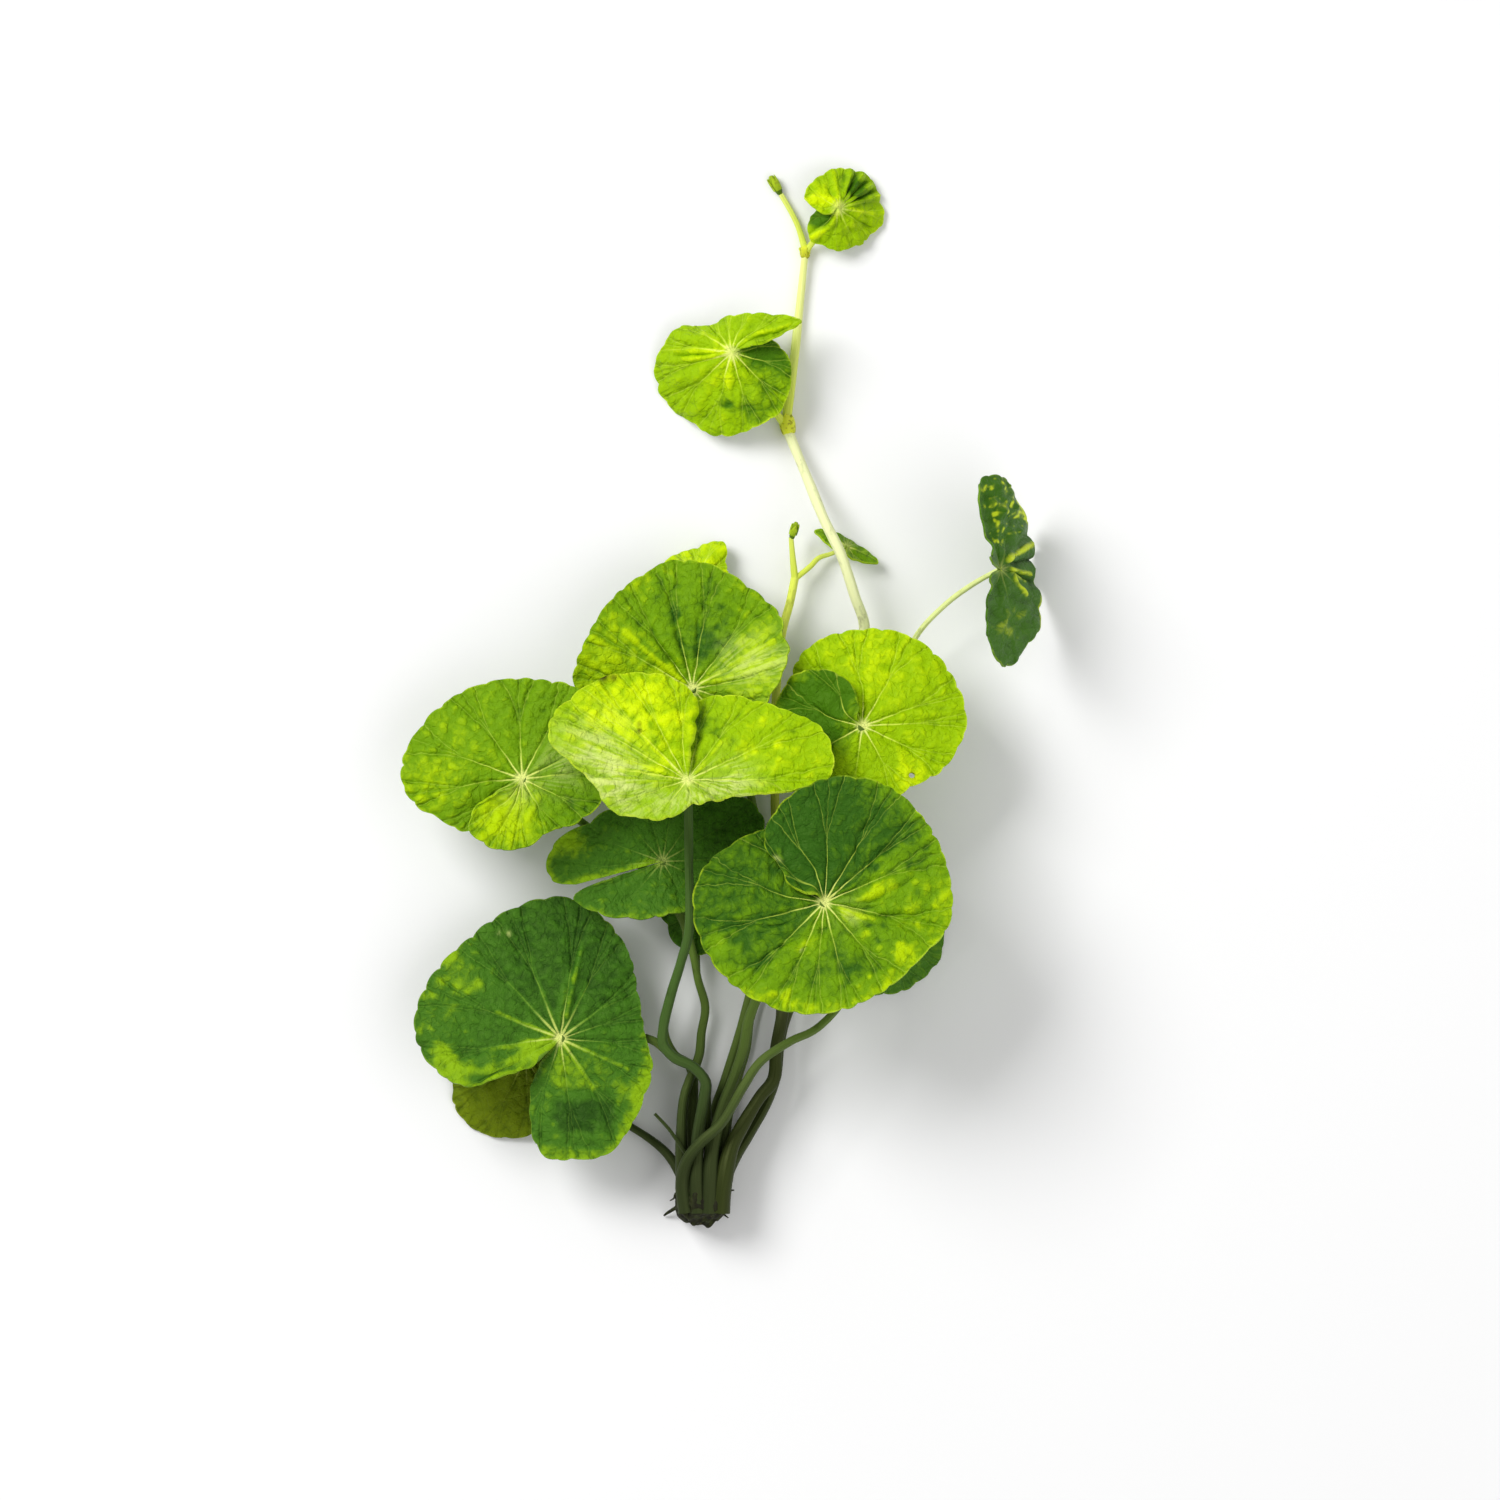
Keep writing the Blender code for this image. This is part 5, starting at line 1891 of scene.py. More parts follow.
LEAF_CENTRE = Blade(
    "leaf_centre",
    Slot.LEAF_BRIGHT,
    BRIGHT,
    hub=(-5.9, -15.6, 27.0),
    margin=(
        (83, 13.0), (85, 15.2), (90, 16.5), (100, 18.8), (116, 21.6), (131, 24.1), (145, 25.8),
        (156, 27.0), (165, 25.5), (171, 21.4), (181, 17.4), (200, 14.9), (218, 10.8), (239, 8.2),
        (270, 4.9), (315, 5.4), (341, 9.0), (352, 16.3), (360, 25.0), (369, 26.6), (382, 25.7),
        (394, 22.0), (408, 19.2), (423, 17.1), (442, 14.5), (452, 12.5),
    ),
    height=((83, 21.5), (116, 22.5), (140, 24), (156, 26), (171, 29), (190, 32), (210, 35),
            (239, 38.5), (270, 40), (315, 39), (341, 34), (352, 30.4), (360, 28.0), (382, 24.5),
            (402, 22.5), (423, 21), (452, 20)),
    lap=-2.4,
    veins=(95, 118, 135, 150, 172, 200, 235, 285, 335, 360, 385, 412, 438),
    patches=(
        Patch(120, 15, 9, 0.25), Patch(140, 20, 6, 0.15), Patch(432, 10, 3.6, -0.35),
        Patch(129, 24.2, 1.0, 1.5, Paint.SCAR), Patch(126, 22.6, 0.6, 0.8, Paint.SCAR),
        Patch(134, 12.3, 0.45, 0.9, Paint.SCAR), Patch(131, 13.2, 0.4, 0.6, Paint.SCAR),
        Patch(168, 18, 6, 0.8, Paint.PALE), Patch(178, 11, 4, 0.6, Paint.PALE),
        Patch(200, 14, 5, 0.4, Paint.PALE), Patch(358, 7, 3.5, 0.8, Paint.PALE),
        *sprinkle(21, (95, 172), (5, 25), 30, 0.9, 0.2),
        *sprinkle(22, (95, 172), (5, 25), 26, 0.8, -0.22),
        *sprinkle(23, (340, 430), (6, 25), 26, 0.8, -0.18),
        *sprinkle(24, (340, 430), (6, 25), 26, 0.9, 0.16),
        Patch(240, 6, 4, 0.45, Paint.PALE), Patch(300, 4, 3, 0.5, Paint.PALE),
        Patch(345, 10, 4, 0.3, Paint.PALE),
    ),
    folds=(
        Fold(((134, 2), (134, 12)), 0.32, 0.3, 0.2),
        Fold(((160, 4), (163, 14), (161, 23)), 0.6, 0.5, 0.1),
        Fold(((170, 5), (171, 12), (169, 19)), 0.5, 0.45, 0.1),
        Fold(((182, 4), (184, 10), (181, 16)), 0.5, 0.45, 0.1),
        Fold(((152, 6), (155, 14), (153, 22)), 0.6, -0.4, -0.12),
        Fold(((177, 6), (176, 12), (178, 17)), 0.5, -0.4, -0.1),
        Fold(((405, 2), (408, 9)), 0.35, 0.3, 0.15),
    ),
    tone=0.6,
)

LEAF_RIGHT = Blade(
    "leaf_right",
    Slot.LEAF_BRIGHT,
    BRIGHT,
    hub=(25.5, -5.9, 20.0),
    margin=(
        (98, 5.6), (103, 7.2), (111, 9.3), (118, 11.2), (129, 13.2), (145, 15.6),
        (161, 16.0), (180, 17.0), (225, 16.5), (270, 16.0), (299, 14.2), (315, 14.7), (332, 16.6),
        (347, 17.7), (360, 18.8), (390, 18.7), (420, 18.4), (450, 17.5), (480, 17.2), (501, 16.0),
        (508, 13.0), (511, 9.0),
    ),
    height=((98, 19.8), (120, 18.5), (145, 17.5), (180, 18), (225, 20.5), (270, 23), (300, 23),
            (330, 21), (360, 19), (405, 17), (450, 15.5), (480, 15.5), (511, 17)),
    lap=-2.4,
    veins=(125, 160, 210, 262, 300, 335, 363, 380, 420, 455, 490),
    patches=(
        # Painted shade on the upper left lobe (125, 165, 195).
        Patch(125, 8, 6.5, -0.5), Patch(165, 11, 7, -0.45), Patch(195, 8, 5, -0.2),
        Patch(312, 12.5, 3.5, 0.35), Patch(440, 12, 8, 0.2), Patch(314, 12.7, 0.75, 0.8, Paint.SCAR),
    ),
    holes=(Hole(314, 12.7, 0.55),),
    tone=0.55,
)

LEAF_LEFT = Blade(
    "leaf_left",
    Slot.LEAF_GREEN,
    GREEN,
    hub=(-35.7, -15.4, 18.5),
    margin=(
        (207, 6.5), (209, 8.8), (217, 11.6), (225, 13.2), (243, 13.6), (270, 12.5), (288, 11.3),
        (303, 10.8), (311, 11.8), (329, 13.5), (343, 14.9), (360, 16.5), (390, 18.5), (405, 19.0),
        (424, 19.1), (438, 18.2), (467, 18.4), (497, 19.7), (510, 20.4), (530, 21.8), (543, 21.6),
        (555, 19.6), (564, 16.9), (576, 15.2), (582, 14.1), (590, 11.5), (596, 8.0),
    ),
    height=((207, 21), (223, 22.5), (256, 23), (288, 21.5), (311, 20.5), (343, 19.5), (375, 18.5),
            (405, 17), (450, 14), (497, 13), (530, 14), (555, 16.5), (596, 18)),
    lap=-2.4,
    veins=(228, 250, 268, 300, 335, 366, 385, 422, 452, 485, 520, 548, 575),
    patches=(
        # The patch at 330 paints the shadow of leaf_centre on the lower right.
        Patch(235, 8, 6, 0.35), Patch(262, 8, 5, 0.25), Patch(330, 12, 5, -0.2),
        Patch(545, 17, 6, 0.2), Patch(510, 12, 7, 0.08), Patch(440, 12, 6, -0.06),
        Patch(375, 7, 4, 0.35, Paint.PALE), Patch(255, 2.5, 3, 0.3, Paint.PALE),
    ),
    tone=0.55,
)

LEAF_BACK = Blade(
    "leaf_back",
    Slot.LEAF_GREEN,
    GREEN,
    hub=(-5.1, 0.8, 15.0),
    margin=(
        (275, 11.0), (280, 13.0), (295, 14.0), (330, 14.0), (352, 14.1), (366, 16.1), (374, 17.4),
        (383, 18.9), (391, 19.2), (398, 20.7), (414, 20.9), (423, 21.2), (441, 22.7), (462, 23.6),
        (469, 22.8), (490, 21.9), (513, 21.2), (537, 21.6), (555, 20.0), (575, 17.0), (595, 14.0),
        (615, 12.5), (625, 10.5),
    ),
    height=((275, 17), (310, 18), (345, 20), (374, 21), (388, 18.5), (405, 14), (435, 11.5),
            (450, 10.5), (470, 11), (500, 14.5), (512, 15), (537, 13.5), (570, 14), (625, 16)),
    veins=(290, 315, 345, 370, 388, 412, 440, 462, 486, 510, 535, 565, 595, 615),
    patches=(
        # Painted shade in the upper wall of the cup above the hub (441, 420, 445).
        Patch(441, 7.5, 4.2, -0.18, sharpness=5), Patch(420, 9, 4, -0.2, sharpness=4),
        Patch(445, 14, 8.5, -0.16, sharpness=6), Patch(392, 13, 6, 0.2),
        *sprinkle(31, (400, 500), (5, 21), 26, 0.9, -0.18),
        *sprinkle(32, (400, 520), (5, 22), 22, 0.9, 0.16),
        Patch(387, 10, 4, 0.45, Paint.PALE), Patch(378, 16, 4, 0.35, Paint.PALE),
        Patch(370, 13, 5, 0.2), Patch(520, 17, 5, 0.25), Patch(545, 17, 6, 0.15),
        Patch(510, 6, 3, 0.25), Patch(445, 16, 2.5, 0.4, Paint.RELIEF),
        Patch(430, 12, 2.0, -0.4, Paint.RELIEF), Patch(462, 13, 2.2, 0.4, Paint.RELIEF),
    ),
    folds=(
        Fold(((501, 2), (501.5, 9), (500, 16)), 0.4, 0.4, 0.35),
        Fold(((388, 2), (390, 9), (390, 17)), 0.45, 0.4, 0.25),
        Fold(((377, 3), (375, 9), (377, 15)), 0.4, 0.35, 0.2),
        Fold(((404, 4), (403, 9), (405, 15)), 0.4, 0.3, 0.15),
        Fold(((462, 4), (466, 10), (464, 17)), 0.5, -0.5, -0.12),
        Fold(((441, 6), (446, 12), (440, 18)), 0.45, -0.45, -0.1),
        Fold(((483, 5), (486, 11), (480, 17)), 0.45, -0.4, -0.1),
    ),
    tone=0.6,
)

LEAF_MID = Blade(
    "leaf_mid",
    Slot.LEAF_DEEP,
    DEEP_SHADED,
    hub=(-10.5, -30.3, 12.0),
    margin=(
        (198, 14.0), (201, 17.4), (207, 16.9), (218, 15.2), (240, 12.0), (270, 9.9),
        (300, 10.0), (320, 11.5), (340, 14.5), (360, 17.5), (386, 20.0), (400, 18.5), (420, 15.5),
        (450, 13.0), (475, 13.0), (500, 14.0), (514, 15.5), (527, 19.1), (540, 20.9), (550, 20.2),
        (555, 16.5),
    ),
    height=((198, 13), (228, 14), (270, 16), (320, 14), (360, 13), (386, 11.5), (450, 9.5),
            (514, 12.5), (555, 12.5)),
    veins=(205, 230, 262, 300, 335, 362, 390, 415, 440, 465, 492, 520, 545),
    patches=(
        # The patch at 385 paints the shade of leaf_centre over the right part.
        Patch(385, 14, 9, -0.2), Patch(527, 17, 2.6, 0.5), Patch(250, 10, 6, 0.06),
        Patch(300, 9, 5, 0.06),
    ),
    glows=(Glow(195, 330, 1.0, 0.25), Glow(515, 570, 1.2, 0.4)),
    puff=0.16,
    crumple=0.1,
    star=0.2,
    veins_show=0.45,
    tone=0.52,
)

LEAF_LOW = Blade(
    "leaf_low",
    Slot.LEAF_DEEP,
    DEEP_SHADED,
    hub=(-28.9, -62.2, 12.0),
    margin=(
        (238, 8.0), (242, 11.0), (247, 13.8), (253, 17.7), (258, 20.0), (264, 21.7), (277, 22.0),
        (292, 22.6), (308, 20.5), (325, 18.6), (342, 17.6), (360, 15.5), (376, 15.4), (394, 16.8),
        (413, 20.1), (430, 23.1), (446, 25.5), (474, 24.9), (494, 24.6), (516, 26.0), (535, 26.5),
        (549, 24.5), (564, 20.4), (569, 17.9), (572, 14.0), (577, 10.0), (584, 7.6), (589, 4.5),
    ),
    height=((238, 10), (258, 12), (285, 13), (320, 12), (360, 11.5), (405, 9.5), (450, 8),
            (480, 8.5), (515, 11), (542, 13.5), (560, 15.5), (575, 16), (589, 13.5)),
    veins=(252, 278, 305, 335, 355, 378, 396, 423, 441, 472, 493, 519, 548, 574),
    patches=(
        Patch(515, 22, 7, 0.16, sharpness=4), Patch(498, 24, 5, 0.12), Patch(538, 21, 5, 0.12),
        # The patch at 448 paints a shadow over the top of the blade.
        Patch(552, 13, 5, -0.15), Patch(448, 15, 12.5, -0.16, sharpness=6),
        *sprinkle(41, (490, 560), (15, 27), 44, 0.7, 0.24),
        *sprinkle(42, (255, 340), (10, 20), 20, 0.7, 0.2),
        Patch(272, 6.5, 3.8, 0.32, sharpness=3), Patch(318, 9, 5, 0.2), Patch(252, 13, 2.6, 0.28),
        Patch(277.5, 13.7, 3.4, -0.3, sharpness=5), Patch(296, 14.9, 3.4, -0.3, sharpness=5),
        Patch(275, 20, 3, 0.1), Patch(330, 17, 3, 0.25), Patch(282, 10.5, 2.0, 0.12),
        Patch(476, 21, 0.35, 1.5, Paint.PALE), Patch(480, 22, 0.3, 1.2, Paint.PALE),
    ),
    glows=(Glow(250, 372, 1.8, 0.4), Glow(295, 348, 2.6, 0.2), Glow(546, 610, 2.4, 0.5, 10)),
    folds=(
        Fold(((446, 3), (445, 7), (439, 12)), 1.0, 0.5, 0.28),
        Fold(((549, 2), (551, 8), (553, 13)), 1.2, 0.4, 0.25),
        Fold(((546, 22), (559, 18), (567, 12.3), (567.5, 5.6)), 1.5, 0.4, 0.5),
        Fold(((349, 17.5), (335, 19.5), (322, 20)), 0.22, 0.2, -0.2),
        Fold(((434, 4), (436, 9), (437, 17.5)), 0.4, 0.5, 0.3),
        Fold(((472, 1.5), (471, 15)), 0.34, 0.3, 0.3),
        Fold(((493, 1.5), (493, 13.5)), 0.34, 0.3, 0.3),
        Fold(((519, 1.5), (518, 12.5)), 0.4, 0.35, 0.45),
        Fold(((548, 2), (549, 14)), 0.5, 0.35, 0.35),
        Fold(((423, 1.5), (424, 11)), 0.34, 0.3, 0.25),
        Fold(((396, 1.5), (395, 12)), 0.34, 0.3, 0.2),
        Fold(((335, 1.5), (336, 13.5)), 0.34, 0.3, 0.3),
        Fold(((305, 1.5), (304, 10.5)), 0.34, 0.3, 0.3),
    ),
    tone=0.43,
)

LEAF_UNDER = Blade(
    "leaf_under",
    Slot.LEAF_GREEN,
    OLIVE,
    hub=(-35.2, -66.0, 5.0),
    margin=(
        (72, 9.0), (77, 11.5), (90, 13.0), (150, 13.5), (180, 13.5), (203, 14.3), (211, 15.7),
        (227, 15.8), (237, 15.8), (251, 15.1), (274, 14.0), (300, 13.5), (360, 12.5), (390, 12.0),
        (405, 11.0), (412, 9.0),
    ),
    height=((72, 6), (120, 6), (180, 3), (205, 0.7), (227, 0.3), (251, 0.5), (274, 1.8),
            (330, 4.5), (412, 5.5)),
)

LEAF_BEHIND_FRONT = Blade(
    "leaf_behind_front",
    Slot.LEAF_DEEP,
    DEEP_SHADED,
    hub=(28.7, -42.6, 9.0),
    margin=(
        (162, 8.5), (167, 10.5), (180, 11.5), (210, 12.0), (240, 12.0), (272, 11.9), (292, 12.0),
        (313, 11.8), (333, 12.1), (356, 11.7), (380, 12.0), (470, 12.0), (490, 11.3), (500, 8.5),
    ),
    height=((162, 10), (210, 11.5), (240, 11), (272, 8), (300, 2.6), (320, 0.1), (340, 0.7),
            (370, 4), (410, 7), (450, 9), (500, 10)),
    tone=0.6,
)

LEAF_BEHIND_MID = Blade(
    "leaf_behind_mid",
    Slot.LEAF_GREEN,
    DEEP_SHADED,
    hub=(-3.7, -37.2, 5.0),
    margin=(
        (88, 7.0), (95, 8.3), (120, 9.0), (180, 8.5), (215, 7.7), (241, 9.3), (260, 10.1),
        (300, 9.8), (360, 9.5), (400, 9.0), (420, 8.3), (428, 7.0),
    ),
    height=((88, 4.5), (150, 4.2), (215, 4.5), (250, 5.2), (290, 5.5), (360, 5), (428, 4.5)),
    tone=0.45,
)

LEAF_PEEK = Blade(
    "leaf_peek",
    Slot.LEAF_BRIGHT,
    BRIGHT,
    hub=(-4.2, 20.8, 5.0),
    margin=(
        (280, 4.6), (288, 5.5), (320, 6.0), (375, 5.8), (392, 6.1), (405, 7.6), (416, 8.1),
        (430, 6.9), (450, 5.6), (483, 5.6), (511, 6.6), (540, 7.0), (580, 6.5), (605, 6.0),
        (618, 5.6), (626, 4.6),
    ),
    height=((280, 7), (350, 5.5), (405, 3), (450, 0.5), (483, 0.3), (511, 1.4), (560, 5),
            (626, 7)),
    tone=0.8,
    tooth=2.6,
    tooth_depth=0.3,
)

LEAF_RUNNER = Blade(
    "leaf_runner",
    Slot.LEAF_BRIGHT,
    BRIGHT,
    hub=(2.1, 61.5, 8.5),
    margin=(
        (15, 5.0), (18.5, 8.8), (20, 11.4), (21.5, 13.4), (26, 13.8), (33, 12.1),
        (43, 10.1), (58, 8.5), (72, 7.4), (90, 6.8), (122, 6.4), (132, 6.7), (145, 8.9),
        (154, 10.7), (166, 11.9), (177, 12.7), (188, 14.3), (216, 14.8), (237, 14.6), (243, 14.1),
        (251, 14.8), (261, 15.2), (291, 14.0), (308, 13.9), (324, 12.6), (336, 11.8), (360, 9.8),
        (376, 7.8), (385, 6.5), (390, 5.2),
    ),
    height=((15, 10.5), (21, 12.5), (33, 12), (58, 9), (90, 6), (122, 4.5), (150, 3.5), (180, 1.5),
            (205, 0.4), (225, 0.4), (243, 1.5), (270, 4.5), (300, 8), (324, 9), (390, 8.5)),
    lap=-2.0,
    veins=(20, 42, 68, 95, 122, 148, 173, 195, 222, 255, 285, 315, 345, 372),
    patches=(
        Patch(372, 5, 4.0, -0.5), Patch(345, 8, 4, -0.25), Patch(325, 10, 5, -0.15),
        Patch(275, 10, 3, -0.1), Patch(250, 5, 4, 0.15), Patch(200, 6, 4, 0.1),
        # The patches at 265 and 262 paint shade in a dent and light on a bump, where the relief patches
        # raise and sink the tissue.
        Patch(294, 12, 3, -0.2), Patch(265, 9.3, 1.1, -0.5), Patch(262, 11.3, 1.2, 0.3),
        Patch(330, 7, 1.5, 0.2),
        Patch(265, 9.3, 1.0, -0.7, Paint.RELIEF), Patch(262, 11.2, 1.1, 0.5, Paint.RELIEF),
        Patch(215, 7, 1.6, 0.45, Paint.RELIEF), Patch(235, 11, 1.5, 0.4, Paint.RELIEF),
        Patch(295, 9, 1.3, 0.35, Paint.RELIEF), Patch(200, 11, 1.4, 0.35, Paint.RELIEF),
    ),
    folds=(
        Fold(((176, 1), (175, 6), (177, 11.5)), 0.5, 0.55, 0.3),
        Fold(((188, 1.5), (190, 5), (187, 9)), 0.4, 0.4, 0.2),
        Fold(((182, 2), (183, 10)), 0.3, -0.4, -0.15),
        Fold(((143, 1.5), (146, 6)), 0.5, 0.4, 0.2),
        Fold(((95, 1), (93, 6)), 0.45, 0.4, 0.25),
        Fold(((120, 1), (121, 5.5)), 0.4, 0.4, 0.2),
        Fold(((60, 1.5), (62, 7)), 0.4, 0.4, 0.2),
        Fold(((36, 2), (34, 6), (24, 12.5)), 0.45, 0.5, 0.25),
        Fold(((268, 0.6), (264, 6)), 0.9, 0.4, 0.22),
        Fold(((300, 1.5), (304, 6)), 0.8, 0.35, 0.16),
    ),
    tone=0.5,
    star=0.6,
    puff=0.32,
    ripple=0.32,
)

LEAF_TOP = Blade(
    "leaf_top",
    Slot.LEAF_BRIGHT,
    BRIGHT,
    hub=(21.2, 87.6, 6.0),
    margin=(
        (186, 2.5), (196, 5.1), (206, 6.0), (217, 6.7), (227, 7.5), (253, 7.3), (270, 7.6),
        (288, 7.4), (305, 7.8), (322, 7.5), (334, 8.1), (343, 8.3), (360, 7.8), (380, 7.6),
        (402, 8.1), (426, 7.6), (450, 7.2), (477, 6.8), (510, 6.8), (522, 6.5), (529, 5.8),
        (540, 4.6), (550, 3.8), (570, 2.5), (580, 1.8),
    ),
    height=((186, 5.5), (225, 4.5), (270, 3.5), (310, 2), (340, 0.6), (365, 0.25), (390, 0.6),
            (430, 2.5), (470, 4), (510, 5.5), (550, 6.3), (580, 6.3)),
    lap=1.6,
    veins=(200, 230, 262, 295, 325, 352, 376, 392, 408, 424, 446, 475, 510, 545),
    patches=(
        Patch(215, 3.5, 2.2, -0.8), Patch(390, 5, 2.2, -0.45), Patch(420, 5, 2.2, -0.5),
        Patch(400, 3, 2, -0.2), Patch(510, 3, 2.5, 0.25), Patch(235, 5, 1.4, 0.3),
    ),
    folds=(
        Fold(((378, 2.2), (380, 7.2)), 0.4, 0.7, 0.4), Fold(((396, 2.2), (397, 7.4)), 0.34, 0.7, 0.4),
        Fold(((412, 2.2), (414, 7.2)), 0.34, 0.65, 0.35), Fold(((430, 2.4), (432, 6.8)), 0.34, 0.5, 0.3),
        Fold(((387, 2), (388, 7)), 0.3, -0.5, -0.2), Fold(((405, 2), (405, 7)), 0.3, -0.5, -0.2),
        Fold(((421, 2), (423, 6.6)), 0.3, -0.45, -0.2), Fold(((455, 2), (458, 6.4)), 0.5, 0.45, 0.25),
        Fold(((470, 0.7), (500, 2.4), (522, 4.6), (528, 6)), 0.6, 0.7, 0.6),
        Fold(((250, 0.8), (238, 4), (228, 7)), 0.55, 0.6, 0.5),
        Fold(((354, 2.4), (352, 6)), 0.4, 0.45, 0.35), Fold(((330, 2), (331, 7)), 0.35, -0.3, -0.12),
    ),
    tone=0.56,
    star=0.35,
    veins_show=0.5,
    crumple=0.26,
    tooth=2.6,
    tooth_depth=0.35,
    puff=0.24,
)

LEAF_SIDE = Blade(
    "leaf_side",
    Slot.LEAF_DEEP,
    SIDE,
    hub=(50.2, 22.3, 17.5),
    margin=(
        (207, 2.0), (218, 2.4), (235, 3.2), (245, 4.0), (253, 7.7), (257, 10.5), (262, 13.7),
        (267, 16.7), (273, 17.7), (280, 16.9), (288, 14.8), (302, 13.0), (315, 10.5), (327, 8.9),
        (341, 6.9), (372, 6.7), (396, 7.7), (412, 8.3), (418, 10.0), (427, 11.4), (440, 13.8),
        (448, 16.4), (454, 17.1), (461, 16.7), (466, 14.7), (468, 11.9), (470, 8.1), (473, 4.3),
        (495, 2.8), (507, 2.3), (516, 2.1),
    ),
    height=((207, 32), (218, 31), (245, 27), (262, 22), (273, 17), (288, 10), (302, 5),
            (327, 1.1), (356, 0.1), (390, 0.5), (412, 2.2), (427, 6), (440, 11), (454, 18),
            (466, 23), (473, 27), (495, 31), (516, 32)),
    patches=(
        *sprinkle(51, (424, 466), (3.5, 16.5), 90, 0.26, 0.42),
        *sprinkle(52, (424, 466), (3.5, 16.5), 24, 0.5, 0.5, Paint.RELIEF),
        Patch(450, 12, 5, 0.12), Patch(275, 11, 3, 0.22), Patch(285, 8, 3, 0.12),
        Patch(452, 15, 0.9, 0.5, Paint.RELIEF), Patch(446, 12.5, 0.8, 0.5, Paint.RELIEF),
        Patch(458, 12, 0.8, 0.5, Paint.RELIEF), Patch(449, 10, 0.8, 0.5, Paint.RELIEF),
        Patch(440, 10.5, 0.8, 0.5, Paint.RELIEF), Patch(455, 8.5, 0.8, 0.5, Paint.RELIEF),
    ),
    glows=(Glow(412, 440, 1.0, 0.6, 6), Glow(300, 330, 0.9, 0.5, 6)),
    folds=(
        Fold(((420, 2.2), (399, 7.2)), 0.55, 0.8, 0.6), Fold(((365, 1.6), (352, 5.4)), 0.36, 0.7, 0.5),
        Fold(((325, 2.8), (315, 6.4)), 0.36, 0.6, 0.42), Fold(((340, 2.0), (334, 5.0)), 0.32, 0.5, 0.36),
        Fold(((385, 2.5), (378, 6.4)), 0.4, -0.6, -0.25), Fold(((345, 3), (343, 6.2)), 0.35, -0.5, -0.2),
    ),
    tone=0.4,
    star=0.15,
    veins_show=0.3,
)

LEAF_EDGE = Blade(
    "leaf_edge",
    Slot.LEAF_DEEP,
    GREEN,
    hub=(22.7, 26.5, 3.0),
    margin=(
        (262, 1.5), (288, 1.9), (313, 3.4), (323, 4.9), (333, 6.6), (343, 4.9), (353, 3.4),
        (378, 1.9), (423, 1.4), (468, 1.9), (493, 3.4), (503, 4.9), (513, 6.5), (523, 4.9),
        (533, 3.4), (558, 1.9), (584, 1.5),
    ),
    height=((262, 6), (313, 4.5), (333, 2.8), (353, 1.1), (423, 0.3), (493, 1.1), (513, 2.6),
            (533, 4.5), (584, 6)),
    tone=0.5,
    star=0.25,
    tooth=2.6,
    tooth_depth=0.2,
)

BLADES: tuple[Blade, ...] = (
    LEAF_FRONT,
    LEAF_CENTRE,
    LEAF_RIGHT,
    LEAF_LEFT,
    LEAF_BACK,
    LEAF_MID,
    LEAF_LOW,
    LEAF_UNDER,
    LEAF_BEHIND_FRONT,
    LEAF_BEHIND_MID,
    LEAF_PEEK,
    LEAF_RUNNER,
    LEAF_TOP,
    LEAF_SIDE,
    LEAF_EDGE,
)

